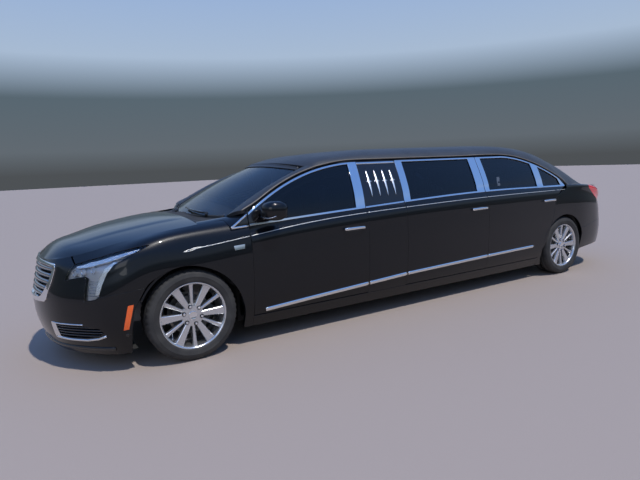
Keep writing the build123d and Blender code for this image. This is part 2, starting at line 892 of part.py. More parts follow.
headlamp_left = without(common(nose_shell, headlamp_zone(0)), hood_zone(CUT_GAP), grille_zone(CUT_GAP))
with BuildPart() as headlamps:
    add(headlamp_left)
    mirror(headlamp_left, about=Plane.XZ)

with BuildPart() as grille:
    add(nose_shell)
    add(grille_zone(0), mode=Mode.INTERSECT)
    add(hood_zone(CUT_GAP), mode=Mode.SUBTRACT)
    top_z, low_z = GRILLE_POINTS[0][1] - 28, GRILLE_POINTS[-1][1] + 26
    pitch = (top_z - low_z) / GRILLE_SLOTS
    for index in range(GRILLE_SLOTS):
        z = low_z + index * pitch
        reach = 235 + 125 * (z - low_z) / (top_z - low_z)
        add(
            block((FRONT_X - 200, FRONT_X), (-reach, reach), (z, z + pitch * 0.55)),
            mode=Mode.SUBTRACT,
        )

with BuildPart() as front_bumper:
    add(nose_shell)
    add(front_bumper_zone(0), mode=Mode.INTERSECT)
    add(front_arches, mode=Mode.SUBTRACT)
    add(grille_zone(TIGHT), mode=Mode.SUBTRACT)
    add(headlamp_zone(TIGHT), mode=Mode.SUBTRACT)
    add(mirrored(headlamp_zone(TIGHT)), mode=Mode.SUBTRACT)
    fog_low, fog_high = 285, 380
    for side in (1, -1):
        for index in range(3):
            z = fog_low + index * 34
            add(
                block((FRONT_X - 300, FRONT_X), (side * 455, side * 660), (z, z + 20)),
                mode=Mode.SUBTRACT,
            )

with BuildPart() as front_fender_left:
    add(nose_shell)
    add(block((axle_x(500) + SHUT_GAP / 2, FRONT_X), (0, HALF), (0, ROOF_Z)), mode=Mode.INTERSECT)
    for cutter in (
        hood_zone(CUT_GAP),
        front_bumper_zone(TIGHT),
        headlamp_zone(TIGHT),
        grille_zone(TIGHT),
        front_arches,
        cowl_zone,
        undertray_cut,
        block((FRONT_X - 250, FRONT_X), (-300, 300), (0, ROOF_Z)),
        roof.part,
        rocker,
    ):
        add(cutter, mode=Mode.SUBTRACT)

# Structure inside the ends: wheel wells, radiator panel, cowl and rear shelf
WELL_LOW = 520


def well(axle, radius, inner, core, side):
    """A wheel well's inner wall and its curved top, on one side of the car."""
    near, far = side * inner, side * HALF
    wall = near - side * WELL_WALL
    drum = cross_rod(axle, WHEEL_RADIUS, radius + WELL_WALL, min(wall, far), max(wall, far))
    room = cross_rod(axle, WHEEL_RADIUS, radius, min(near, far), max(near, far))
    above = block((axle - radius - 50, axle + radius + 50), (-HALF, HALF), (WELL_LOW, ROOF_Z))
    return without(common(drum, core, above), room)


radiator_x = FRONT_AXLE + 640
with BuildPart() as front_structure:
    for side in (1, -1):
        add(well(FRONT_AXLE, FRONT_ARCH, FRONT_WELL, nose_core, side))
        rail = block(
            (axle_x(440), radiator_x + 30),
            (side * (FRONT_WELL - WELL_WALL - 34), side * (FRONT_WELL - WELL_WALL)),
            (WELL_LOW, WELL_LOW + 90),
        )
        add(rail)
        hood_stop = block((radiator_x - 15, radiator_x + 15), (side * 380, side * 460), (600, ROOF_Z))
        add(common(hood_stop, nose_core))
    add(common(block((radiator_x, radiator_x + 30), (-560, 560), (260, 700)), nose_core))
    cowl_beam = block((axle_x(440), HOOD_REAR - 30), (-COWL_HALF + 1, COWL_HALF - 1), (900, ROOF_Z))
    add(common(cowl_beam, nose_core))
    add(common(nose_shell, cowl_zone))
    add(
        knuckles(HOOD_REAR, HOOD_HINGE_Z, HOOD_KNUCKLE + 1, knuckle_y0 - 1, knuckle_y1 + TIGHT),
        mode=Mode.SUBTRACT,
    )
    add(knuckles(HOOD_REAR, HOOD_HINGE_Z, HOOD_KNUCKLE, knuckle_y1 + TIGHT, knuckle_y2))
    for side in (1, -1):
        add(
            block(
                (HOOD_REAR - CUT_GAP - 1, HOOD_REAR),
                (side * (knuckle_y1 + TIGHT), side * knuckle_y2),
                (HOOD_HINGE_Z - HOOD_KNUCKLE, HOOD_HINGE_Z),
            )
        )
    add(block((axle_x(440), axle_x(415)), (-FRONT_WELL, FRONT_WELL), (WELL_LOW, 930)))
    add(roof.part, mode=Mode.SUBTRACT)
    add(windscreen.part, mode=Mode.SUBTRACT)

FLOOR_Z = 190
FLOOR_WALL = 40
RING_IN_Y = HALF - RING_INNER
KICK_X = axle_x(4180)
BOOT_Z = 430
with BuildPart() as floor_pan:
    add(block((KICK_X, axle_x(440)), (-RING_IN_Y, RING_IN_Y), (FLOOR_Z, FLOOR_Z + FLOOR_WALL)))
    add(block((axle_x(440), axle_x(415)), (-RING_IN_Y, RING_IN_Y), (FLOOR_Z, WELL_LOW)))
    add(block((axle_x(440), axle_x(415)), (-FRONT_WELL, FRONT_WELL), (WELL_LOW - 10, WELL_LOW)))
    boot_top = BOOT_Z + FLOOR_WALL
    kick_half = RING_IN_Y - 130
    add(block((KICK_X - FLOOR_WALL, KICK_X), (-kick_half, kick_half), (FLOOR_Z, boot_top)))
    boot_half = REAR_WELL - WELL_WALL - 20
    add(common(block((REAR_X, KICK_X), (-boot_half, boot_half), (BOOT_Z, boot_top)), tail_core))
    for side in (1, -1):
        add(block((KICK_X, axle_x(440)), (side * 330, side * 400), (GROUND_CLEARANCE + 5, FLOOR_Z)))
    add(block((axle_x(4100), axle_x(3500)), (-310, 140), (GROUND_CLEARANCE, FLOOR_Z)))

shelf_back = LID_FRONT + CUT_GAP
with BuildPart() as rear_structure:
    for side in (1, -1):
        add(well(REAR_AXLE, REAR_ARCH, REAR_WELL, tail_core, side))
        add(
            block(
                (REAR_AXLE - 300, REAR_AXLE + 300),
                (side * (boot_half - 20), side * (REAR_WELL)),
                (BOOT_Z + FLOOR_WALL, WELL_LOW + 60),
            )
        )
        add(
            common(
                block(
                    (REAR_AXLE - 60, REAR_AXLE + 60),
                    (side * 560, side * REAR_WELL),
                    (WELL_LOW, ROOF_Z),
                ),
                tail_core,
            )
        )
    shelf_zone = block((shelf_back, seat_shelf_x), (-HALF + 161, HALF - 161), (BELT_Z - 119, ROOF_Z))
    add(common(tail_shell, shelf_zone))
    bulkhead = block(
        (seat_shelf_x - 30, seat_shelf_x), (-REAR_WELL, REAR_WELL), (BOOT_Z + FLOOR_WALL, ROOF_Z)
    )
    add(common(bulkhead, tail_core))
    add(roof.part, mode=Mode.SUBTRACT)
    add(lid_knuckle(LID_KNUCKLE + 1, knuckle_y0 - 1, knuckle_y1 + TIGHT), mode=Mode.SUBTRACT)
    add(lid_knuckle(LID_KNUCKLE, knuckle_y1 + TIGHT, knuckle_y2))
    for side in (1, -1):
        add(
            block(
                (LID_FRONT, LID_FRONT + 3 * CUT_GAP),
                (side * (knuckle_y1 + TIGHT), side * knuckle_y2),
                (LID_HINGE_Z - 2 * LID_KNUCKLE, LID_HINGE_Z),
            )
        )
    add(rear_window.part, mode=Mode.SUBTRACT)
    add(rear_arches, mode=Mode.SUBTRACT)
    for side in (1, -1):
        add(
            block((REAR_AXLE, REAR_AXLE + 600), (side * (HALF - RING_OUTER), side * HALF), (0, ROOF_Z)),
            mode=Mode.SUBTRACT,
        )
    for cutter in (tail_lamp_zone(TIGHT), body_side_left.part):
        add(cutter, mode=Mode.SUBTRACT)
        add(mirrored(cutter), mode=Mode.SUBTRACT)

# Running gear
ARM_DROP = 125
ARM_WALL = 20
KINGPIN_R = 18
HUB_FACE = 838
HUB_INNER = 744
UPRIGHT_Y = 430
SUMP_HALF = 180
SHAFT_R = 14
SHAFT_END = WHEEL_Y - 75
with BuildPart() as front_suspension:
    add(block((FRONT_AXLE - 80, FRONT_AXLE + 80), (-UPRIGHT_Y, UPRIGHT_Y), (FLOOR_Z, FLOOR_Z + 50)))
    for side in (1, -1):
        add(
            block(
                (FRONT_AXLE - 60, FRONT_AXLE + 60),
                (side * UPRIGHT_Y, side * (UPRIGHT_Y + 25)),
                (FLOOR_Z, WELL_LOW + 40),
            )
        )
        for low in (WHEEL_RADIUS - ARM_DROP - ARM_WALL, WHEEL_RADIUS + ARM_DROP):
            add(
                block(
                    (FRONT_AXLE - KINGPIN_R, FRONT_AXLE + KINGPIN_R),
                    (side * UPRIGHT_Y, side * WHEEL_Y),
                    (low, low + ARM_WALL),
                )
            )
            add(post(FRONT_AXLE, side * WHEEL_Y, KINGPIN_R, low, low + ARM_WALL))
    add(cross_rod(FRONT_AXLE, WHEEL_RADIUS, SHAFT_R, SUMP_HALF + TIGHT, SHAFT_END))
    add(cross_rod(FRONT_AXLE, WHEEL_RADIUS, SHAFT_R, -SHAFT_END, -SUMP_HALF - TIGHT))
    add(front_structure.part, mode=Mode.SUBTRACT)

knuckle_left_parts = (
    cross_rod(FRONT_AXLE, WHEEL_RADIUS, 56, HUB_INNER, HUB_FACE - TIGHT),
    cross_rod(FRONT_AXLE, WHEEL_RADIUS, 150, HUB_FACE - 14, HUB_FACE - TIGHT),
    block(
        (FRONT_AXLE - 22, FRONT_AXLE + 22),
        (WHEEL_Y - 22, WHEEL_Y + 22),
        (WHEEL_RADIUS - ARM_DROP + TIGHT, WHEEL_RADIUS + ARM_DROP - TIGHT),
    ),
)
with BuildPart() as knuckle_left:
    for part in knuckle_left_parts:
        add(part)

with BuildPart() as rear_suspension:
    add(cross_rod(REAR_AXLE, WHEEL_RADIUS, 30, -760, 760))
    for side in (1, -1):
        for radius, inner in ((62, HUB_INNER), (150, HUB_FACE - 14)):
            ends = sorted((side * inner, side * (HUB_FACE - TIGHT)))
            add(cross_rod(REAR_AXLE, WHEEL_RADIUS, radius, *ends))
        add(post(REAR_AXLE, side * 480, 50, WHEEL_RADIUS, BOOT_Z - TIGHT))
        add(
            side_block(
                (
                    (REAR_AXLE, WHEEL_RADIUS - 25),
                    (REAR_AXLE, WHEEL_RADIUS + 25),
                    (KICK_X - FLOOR_WALL - TIGHT, 330),
                    (KICK_X - FLOOR_WALL - TIGHT, 280),
                ),
                min(side * 470, side * 500),
                max(side * 470, side * 500),
            )
        )

with BuildPart() as engine:
    add(block((FRONT_AXLE + 90, FRONT_AXLE + 590), (-360, 360), (FLOOR_Z + 50 + TIGHT, 790)))
    add(block((FRONT_AXLE - 300, FRONT_AXLE + 90), (-SUMP_HALF, SUMP_HALF), (FLOOR_Z + 50 + TIGHT, 620)))

EXHAUST_R = 26
exhaust_z = GROUND_CLEARANCE + 8
with BuildPart() as exhaust:
    with BuildSketch(Plane.YZ.offset(axle_x(5000))):
        with Locations((200, exhaust_z)):
            Circle(EXHAUST_R)
    extrude(amount=axle_x(-150) - axle_x(5000))
    add(block((axle_x(5030), axle_x(4850)), (60, 480), (exhaust_z - 8, BOOT_Z - 60)))
    add(block((axle_x(5400), axle_x(5030)), (60, 480), (GROUND_CLEARANCE + SHELL + 15, BOOT_Z - 60)))
    for back in (700, 2300, 3400):
        add(block((axle_x(back), axle_x(back - 40)), (180, 220), (exhaust_z, FLOOR_Z - TIGHT)))
    add(block((axle_x(5300), axle_x(5100)), (180, 220), (exhaust_z + 60, BOOT_Z - TIGHT)))
    add(floor_pan.part, mode=Mode.SUBTRACT)
    add(front_suspension.part, mode=Mode.SUBTRACT)

# Wheels, drawn about the car's left front hub
FLANGE_Y = 112
BEAD_R = 246
SPOKES = 12
LUGS = 6
LUG_CIRCLE = 120


def rim_profile():
    r = RIM_OD / 2
    return (
        (r - 22, -FLANGE_Y),
        (r, -FLANGE_Y),
        (r, 8 - FLANGE_Y),
        (BEAD_R, 10 - FLANGE_Y),
        (BEAD_R - 4, -60),
        (BEAD_R - 24, -40),
        (BEAD_R - 24, 50),
        (BEAD_R, FLANGE_Y - 10),
        (r, FLANGE_Y - 8),
        (r, FLANGE_Y),
        (r - 22, FLANGE_Y),
        (BEAD_R - 26, 80),
        (BEAD_R - 38, 45),
        (BEAD_R - 38, -45),
        (BEAD_R - 20, -70),
    )


def tyre_profile():
    r, rim, half = TYRE_OD / 2, RIM_OD / 2, TYRE_WIDTH / 2
    side = [
        (BEAD_R + TIGHT, FLANGE_Y - 10 - TIGHT),
        (rim + TIGHT, FLANGE_Y - 8 - TIGHT),
        (rim + TIGHT, FLANGE_Y),
        (rim + 24, half - 3),
        (rim + 46, half),
        (r - 22, half - 4),
        (r - 7, half - 15),
        (r, half - 30),
    ]
    return side + [(x, -y) for x, y in reversed(side)]


face_in, face_out = HUB_FACE - WHEEL_Y, 74
with BuildPart() as rim:
    with BuildSketch(Plane.XY):
        with BuildLine():
            Polyline(*rim_profile(), close=True)
        make_face()
    revolve(axis=Axis.Y)
    with BuildSketch(Plane.XZ.offset(-face_out)):
        Circle(BEAD_R - 30)
        with PolarLocations(0, SPOKES, start_angle=15):
            Polygon(
                (88, -9),
                (BEAD_R - 42, -34),
                (BEAD_R - 42, 34),
                (88, 9),
                align=None,
                mode=Mode.SUBTRACT,
            )
    extrude(amount=22)
    with BuildSketch(Plane.XZ.offset(-face_out)):
        Circle(76)
    extrude(amount=face_out - face_in)
    with BuildSketch(Plane.XZ.offset(-face_out - 12)):
        with PolarLocations(LUG_CIRCLE / 2, LUGS):
            Circle(10)
        Circle(32)
    extrude(amount=14)

with BuildPart() as tyre:
    with BuildSketch(Plane.XY):
        with BuildLine():
            Polyline(*tyre_profile(), close=True)
        make_face()
    revolve(axis=Axis.Y)

# Cabin
SEAT_HALF = 640
SEAT_BASE = 270
SEATS = (
    # name, cushion front behind the front axle, y centres, width
    ("front_seats", 1060, (370, -370), 520),
    ("middle_seat", 2390, (0,), 2 * SEAT_HALF),
    ("rear_seat", 3500, (0,), 2 * SEAT_HALF - 100),
)
CUSHION_LENGTH = 520
CUSHION_TOP = 440
BACK_TOP = 980
BACK_LEAN = 130
BACK_WALL = 130
seats = {}
with BuildPart() as seat_frames:
    for name, front, centres, width in SEATS:
        for y in centres:
            add(
                block(
                    (axle_x(front + CUSHION_LENGTH), axle_x(front + 60)),
                    (y - width / 2 + 60, y + width / 2 - 60),
                    (FLOOR_Z + FLOOR_WALL, SEAT_BASE),
                )
            )
for name, front, centres, width in SEATS:
    with BuildPart() as seat:
        for y in centres:
            back = front + CUSHION_LENGTH
            outline = (
                (axle_x(front), SEAT_BASE + TIGHT),
                (axle_x(front), CUSHION_TOP),
                (axle_x(back), CUSHION_TOP - 25),
                (axle_x(back + BACK_LEAN), BACK_TOP),
                (axle_x(back + BACK_LEAN + BACK_WALL - 30), BACK_TOP),
                (axle_x(back + BACK_WALL), SEAT_BASE + TIGHT),
            )
            add(side_block(outline, y - width / 2, y + width / 2))
    seats[name] = seat.part

WHEEL_TILT = 25
STEER_X, STEER_Y, STEER_Z = axle_x(905), 370, 800
STEER_R = 185
DASH_REAR = axle_x(760)
with BuildPart() as dashboard:
    add(
        side_block(
            (
                (axle_x(440) - TIGHT, 560),
                (axle_x(440) - TIGHT, 930),
                (axle_x(620), 955),
                (DASH_REAR, 880),
                (DASH_REAR + 20, 700),
                (DASH_REAR + 120, 560),
            ),
            -RING_IN_Y + 1,
            RING_IN_Y - 1,
        )
    )
    add(block((axle_x(1500), DASH_REAR + 60), (-95, 95), (FLOOR_Z + FLOOR_WALL + TIGHT, 480)))
    add(block((DASH_REAR + 20, DASH_REAR + 120), (-95, 95), (400, 600)))
    steer_axis = Vector(-cos(radians(WHEEL_TILT)), 0, sin(radians(WHEEL_TILT)))
    steer_plane = Plane(origin=(STEER_X, STEER_Y, STEER_Z), z_dir=steer_axis)
    with BuildSketch(steer_plane.offset(-30 - TIGHT)):
        Circle(28)
    extrude(amount=-230)
    add(front_structure.part, mode=Mode.SUBTRACT)
    add(roof.part, mode=Mode.SUBTRACT)
    add(body_side_left.part, mode=Mode.SUBTRACT)
    add(mirrored(body_side_left.part), mode=Mode.SUBTRACT)

with BuildPart() as steering_wheel:
    rim_plane = Plane(
        origin=(STEER_X, STEER_Y, STEER_Z),
        x_dir=(0, 1, 0),
        z_dir=(-steer_axis.Z, 0, steer_axis.X),
    )
    with BuildSketch(rim_plane):
        with Locations((STEER_R, 0)):
            Circle(14)
    revolve(axis=Axis((STEER_X, STEER_Y, STEER_Z), tuple(steer_axis)))
    with BuildSketch(steer_plane.offset(-30)):
        Circle(60)
    extrude(amount=30)
    with BuildSketch(steer_plane.offset(-9)):
        with PolarLocations(0, 3, start_angle=90):
            with Locations((STEER_R / 2, 0)):
                Rectangle(STEER_R, 34)
    extrude(amount=12)

MIRROR_X = (axle_x(740), axle_x(590))
MIRROR_Y = (900, 1055)
MIRROR_Z = (1045, 1185)
with BuildPart() as mirror_whole:
    add(block(MIRROR_X, MIRROR_Y, MIRROR_Z))
    fillet(mirror_whole.edges().filter_by(Axis.Y), radius=35)
    add(block((axle_x(690), axle_x(640)), (HALF - 60, 930), (1018, 1062)))
    add(doors["front"], mode=Mode.SUBTRACT)
    add(windows["front"], mode=Mode.SUBTRACT)
with BuildPart() as mirror_left:
    add(mirror_whole.solids().sort_by(SortBy.VOLUME)[-1])

pieces = {
    "roof": roof.part,
    "windscreen": windscreen.part,
    "rear_window": rear_window.part,
    "body_side_left": body_side_left.part,
    "front_structure": front_structure.part,
    "rear_structure": rear_structure.part,
    "floor_pan": floor_pan.part,
    "hood": hood.part,
    "headlamps": headlamps.part,
    "grille": grille.part,
    "front_bumper": front_bumper.part,
    "front_fender_left": front_fender_left.part,
    "trunk_lid": trunk_lid.part,
    "tail_lamps": tail_lamps.part,
    "rear_bumper": rear_bumper.part,
    "front_suspension": front_suspension.part,
    "rear_suspension": rear_suspension.part,
    "engine": engine.part,
    "exhaust": exhaust.part,
    "seat_frames": seat_frames.part,
    "dashboard": dashboard.part,
    "steering_wheel": steering_wheel.part,
    "knuckle_left": knuckle_left.part,
    "mirror_left": mirror_left.part,
}
pieces.update(seats)
for name, door in doors.items():
    pieces[f"door_{name}_left"] = door
    pieces[f"window_{name}_left"] = windows[name]
for name in [n for n in pieces if n.endswith("_left")]:
    pieces[name.replace("_left", "_right")] = mirrored(pieces[name])

WHEELS = (
    # name, x, side
    ("front_left", FRONT_AXLE, 1),
    ("front_right", FRONT_AXLE, -1),
    ("rear_left", REAR_AXLE, 1),
    ("rear_right", REAR_AXLE, -1),
)
for place, x, side in WHEELS:
    for name, solid in (("rim", rim.part), ("tyre", tyre.part)):
        with BuildPart() as wheel:
            with Locations((x, WHEEL_Y, WHEEL_RADIUS)):
                add(solid)
        pieces[f"{name}_{place}"] = wheel.part if side > 0 else mirrored(wheel.part)

for name, solid in pieces.items():
    solid.label = name
    export_step(solid, f"parts/{name}.step")
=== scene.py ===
"""Looks of the six-door stretch limousine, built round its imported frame.

Metres, in the frame's axes: +X forward, +Y to the car's left, +Z up. Most places along the car
are given as `back`, the distance behind the front axle, and are negative ahead of it.
"""

import json
import math

import bpy
import numpy as np
from mathutils import Matrix, Vector
from mathutils.geometry import delaunay_2d_cdt


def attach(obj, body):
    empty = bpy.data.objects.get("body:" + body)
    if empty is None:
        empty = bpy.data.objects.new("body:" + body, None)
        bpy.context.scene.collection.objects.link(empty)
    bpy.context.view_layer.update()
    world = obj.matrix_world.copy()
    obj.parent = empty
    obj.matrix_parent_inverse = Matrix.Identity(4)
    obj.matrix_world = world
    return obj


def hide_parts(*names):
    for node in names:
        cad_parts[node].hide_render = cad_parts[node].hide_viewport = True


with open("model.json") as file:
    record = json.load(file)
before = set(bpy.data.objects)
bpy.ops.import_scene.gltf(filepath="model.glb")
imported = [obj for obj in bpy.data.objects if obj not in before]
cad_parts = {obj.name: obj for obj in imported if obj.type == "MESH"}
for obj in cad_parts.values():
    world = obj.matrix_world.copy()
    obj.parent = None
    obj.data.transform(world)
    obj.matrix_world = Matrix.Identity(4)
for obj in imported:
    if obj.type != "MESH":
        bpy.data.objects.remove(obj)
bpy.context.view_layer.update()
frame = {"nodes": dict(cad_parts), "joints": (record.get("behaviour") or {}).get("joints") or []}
JOINTS = {joint["name"]: joint for joint in frame["joints"]}
FRONT_AXLE, WHEEL_Y, WHEEL_Z = JOINTS["wheel_front_left_spin"]["pos_m"]
REAR_AXLE = JOINTS["wheel_rear_left_spin"]["pos_m"][0]
REAR_BACK = FRONT_AXLE - REAR_AXLE

# Camera, fitted to the photograph's 640 x 480 frame
CAMERA_BACK, CAMERA_Y, CAMERA_Z = -1.087, 4.558, 1.442
YAW, PITCH, ROLL = math.radians(31.312), math.radians(8.483), math.radians(-2.285)
SENSOR = 36.0
FOCAL_PIXELS, FRAME_WIDTH = 504.91, 640


def make_camera():
    ahead = Vector((-math.sin(YAW) * math.cos(PITCH), -math.cos(YAW) * math.cos(PITCH), -math.sin(PITCH)))
    right = ahead.cross(Vector((0, 0, 1))).normalized()
    up = right.cross(ahead)
    rolled_right = math.cos(ROLL) * right + math.sin(ROLL) * up
    rolled_up = -math.sin(ROLL) * right + math.cos(ROLL) * up
    data = bpy.data.cameras.new("camera")
    data.sensor_width = SENSOR
    data.lens = SENSOR * FOCAL_PIXELS / FRAME_WIDTH
    data.clip_end = 200
    camera = bpy.data.objects.new("camera", data)
    bpy.context.scene.collection.objects.link(camera)
    rotation = Matrix((rolled_right, rolled_up, -ahead)).transposed().to_4x4()
    place = Matrix.Translation((FRONT_AXLE - CAMERA_BACK, CAMERA_Y, CAMERA_Z))
    camera.matrix_world = place @ rotation
    bpy.context.scene.camera = camera


make_camera()


# Materials

NOISE, CELLS = "ShaderNodeTexNoise", "ShaderNodeTexVoronoi"


def new_material(name, sockets):
    """A material with the given values on its shader's sockets."""
    material = bpy.data.materials.new(name)
    material.use_nodes = True
    tree = material.node_tree
    shader = tree.nodes["Principled BSDF"]
    for socket, value in sockets.items():
        shader.inputs[socket].default_value = value
    return material, tree, shader


def pattern(tree, kind, scale, detail=None):
    """Noise or cells in the object's own coordinates."""
    where = tree.nodes.new("ShaderNodeTexCoord")
    texture = tree.nodes.new(kind)
    texture.inputs["Scale"].default_value = scale
    if detail:
        texture.inputs["Detail"].default_value = detail
    tree.links.new(where.outputs["Object"], texture.inputs["Vector"])
    return texture.outputs["Fac" if kind == NOISE else "Distance"]


def relief(tree, shader, scale, strength, distance, kind=NOISE):
    """Fine bumps from a pattern."""
    bump = tree.nodes.new("ShaderNodeBump")
    bump.inputs["Strength"].default_value = strength
    bump.inputs["Distance"].default_value = distance
    tree.links.new(pattern(tree, kind, scale, 3.0 if kind == NOISE else None), bump.inputs["Height"])
    tree.links.new(bump.outputs["Normal"], shader.inputs["Normal"])


def coloured(tree, shader, source, stops):
    """Base colour from a pattern, by rows (place, colour)."""
    ramp = tree.nodes.new("ShaderNodeValToRGB")
    for stop, (place, colour) in zip(ramp.color_ramp.elements, stops):
        stop.position = place
        stop.color = (*colour, 1)
    tree.links.new(source, ramp.inputs["Fac"])
    tree.links.new(ramp.outputs["Color"], shader.inputs["Base Color"])


def varied(tree, shader, scale, low, high):
    """A slow random change of colour over the surface."""
    coloured(tree, shader, pattern(tree, NOISE, scale, 4), ((0.35, low), (0.65, high)))


def simple(name, colour, rough, bump, metal=0.0, coat=0.0, vary=None):
    """A plain finish with relief (scale, strength, distance) and perhaps a colour change (scale, amount)."""
    sockets = {
        "Base Color": (*colour, 1), "Roughness": rough, "Metallic": metal, "Coat Weight": coat, "Coat Roughness": 0.03,
    }
    material, tree, shader = new_material(name, sockets)
    relief(tree, shader, *bump)
    if vary:
        scale, amount = vary
        varied(tree, shader, scale, [c * (1 - amount) for c in colour], [c * (1 + amount) for c in colour])
    return material


def paint_material():
    """Deep black lacquer with a fine blue flake."""
    sockets = {
        "Roughness": 0.30, "Specular IOR Level": 0.12, "Coat Weight": 0.85, "Coat IOR": 1.42, "Coat Roughness": 0.012,
    }
    material, tree, shader = new_material("black_paint", sockets)
    stops = ((0.55, (0.0015, 0.002, 0.003)), (1.0, (0.006, 0.008, 0.013)))
    coloured(tree, shader, pattern(tree, CELLS, 1600), stops)
    return material


def glass_material(name, tint):
    sockets = {"Base Color": (*tint, 1), "Roughness": 0.0, "IOR": 1.5, "Transmission Weight": 1.0}
    material, tree, shader = new_material(name, sockets)
    relief(tree, shader, 3.0, 0.02, 0.002)
    return material


def grained(name, sockets, vary, bump):
    """Rubber, vinyl or leather: a grain over a slow change of tone (scale, low colour, high colour)."""
    material, tree, shader = new_material(name, sockets)
    varied(tree, shader, *vary)
    relief(tree, shader, *bump)
    return material


def brushed_material(name, colour, rough):
    """Metal with streaks along the car."""
    material, tree, shader = new_material(name, {"Metallic": 1.0, "Base Color": (*colour, 1)})
    where = tree.nodes.new("ShaderNodeTexCoord")
    stretch = tree.nodes.new("ShaderNodeMapping")
    stretch.inputs["Scale"].default_value = (3, 220, 220)
    noise = tree.nodes.new(NOISE)
    noise.inputs["Scale"].default_value = 1.0
    ramp = tree.nodes.new("ShaderNodeMapRange")
    ramp.inputs["To Min"].default_value = rough * 0.7
    ramp.inputs["To Max"].default_value = rough * 1.4
    for source, target in (
        (where.outputs["Object"], stretch.inputs["Vector"]),
        (stretch.outputs["Vector"], noise.inputs["Vector"]),
        (noise.outputs["Fac"], ramp.inputs["Value"]),
        (ramp.outputs["Result"], shader.inputs["Roughness"]),
    ):
        tree.links.new(source, target)
    return material


TYRE_TONES = (9.0, (0.020, 0.020, 0.021), (0.038, 0.037, 0.036))
VINYL_TONES = (5.0, (0.018, 0.021, 0.026), (0.027, 0.031, 0.038))
LEATHER_TONES = (14.0, (0.012, 0.012, 0.013), (0.022, 0.022, 0.024))
DASH_TONES = (14.0, (0.010, 0.010, 0.011), (0.020, 0.020, 0.021))
LEATHER_GRAIN = (420.0, 0.35, 0.0008, CELLS)
VINYL_GRAIN = (260.0, 0.5, 0.0012, CELLS)
VINYL_GLOSS = {"Roughness": 0.46, "Specular IOR Level": 0.55}
IRON = (0.075, 0.073, 0.070)
FINISHES = (
    # key, slot, material
    ("paint", "black_paint", paint_material()),
    ("vinyl", "roof_vinyl", grained("roof_vinyl", VINYL_GLOSS, VINYL_TONES, VINYL_GRAIN)),
    ("bead", "roof_vinyl", simple("vinyl_bead", (0.16, 0.14, 0.12), 0.45, (500.0, 0.2, 0.001))),
    ("glass", "tinted_glass", glass_material("tinted_glass", (0.045, 0.075, 0.115))),
    ("screen", "tinted_glass", glass_material("windscreen_glass", (0.70, 0.80, 0.82))),
    ("lens", "clear_lamp", glass_material("lamp_lens", (0.95, 0.96, 0.98))),
    ("chrome", "bright_trim", simple("bright_chrome", (0.82, 0.83, 0.85), 0.07, (6.0, 0.03, 0.002), 1.0)),
    ("dark_chrome", "bright_trim", simple("dark_chrome", (0.34, 0.35, 0.37), 0.13, (6.0, 0.03, 0.002), 1.0)),
    ("alloy", "wheel_alloy", simple("wheel_alloy", (0.62, 0.63, 0.65), 0.24, (300.0, 0.05, 0.0006), 0.9, 0.6)),
    ("gloss_black", "dark_trim", simple("gloss_black_trim", (0.006, 0.006, 0.007), 0.12, (8.0, 0.02, 0.002), 0.0, 0.5)),
    ("matt_black", "dark_trim", simple("matt_black_plastic", (0.014, 0.014, 0.015), 0.6, (350.0, 0.3, 0.001))),
    ("rubber", "dark_trim", simple("black_rubber", (0.012, 0.012, 0.012), 0.7, (260.0, 0.2, 0.001))),
    ("under", "underbody", simple("underbody_coating", (0.022, 0.022, 0.023), 0.8, (120.0, 0.5, 0.002), vary=(6.0, 0.3))),
    ("iron", "running_gear", simple("running_gear_iron", IRON, 0.62, (90.0, 0.4, 0.002), 0.4, vary=(12.0, 0.3))),
    ("engine", "engine_alloy", simple("engine_alloy", (0.33, 0.33, 0.34), 0.5, (70.0, 0.4, 0.002), 0.8, vary=(8.0, 0.2))),
    ("steel", "exhaust_steel", brushed_material("exhaust_steel", (0.35, 0.33, 0.31), 0.38)),
    ("leather", "seat_leather", grained("black_leather", {"Roughness": 0.42}, LEATHER_TONES, LEATHER_GRAIN)),
    ("dash", "dark_trim", grained("dashboard_skin", {"Roughness": 0.42}, DASH_TONES, LEATHER_GRAIN)),
    ("carpet", "dark_trim", simple("black_carpet", (0.012, 0.012, 0.012), 0.95, (700.0, 0.6, 0.002))),
    ("tyre", "tyre", grained("tyre_rubber", {"Roughness": 0.75}, TYRE_TONES, (420.0, 0.25, 0.001))),
    ("red", "red_lamp", simple("red_lens", (0.68, 0.010, 0.022), 0.10, (160.0, 0.15, 0.001), coat=1.0)),
    ("amber", "red_lamp", simple("amber_lens", (0.85, 0.12, 0.01), 0.12, (220.0, 0.2, 0.001), coat=1.0)),
    ("silver_line", "bright_trim", simple("silver_line", (0.62, 0.61, 0.58), 0.35, (400.0, 0.1, 0.0003), 0.6)),
    ("reflector", "bright_trim", simple("lamp_reflector", (0.88, 0.89, 0.9), 0.10, (60.0, 0.08, 0.002), 1.0)),
    ("lamp_body", "bright_trim", simple("lamp_body", (0.55, 0.56, 0.58), 0.30, (80.0, 0.1, 0.002), 0.7)),
    ("polished", "bright_trim", simple("polished_silver", (0.90, 0.90, 0.88), 0.26, (40.0, 0.05, 0.0006), 0.85)),
    ("mirror", "bright_trim", simple("mirror_glass", (0.85, 0.87, 0.88), 0.02, (2.0, 0.01, 0.001), 1.0)),
)
MATERIALS = {key: material for key, slot, material in FINISHES}


# Making pieces

def to_world(points):
    """Points given as (back, y, z) turned into the frame's x, y, z."""
    out = np.array(points, float)
    out[..., 0] = FRONT_AXLE - out[..., 0]
    return out


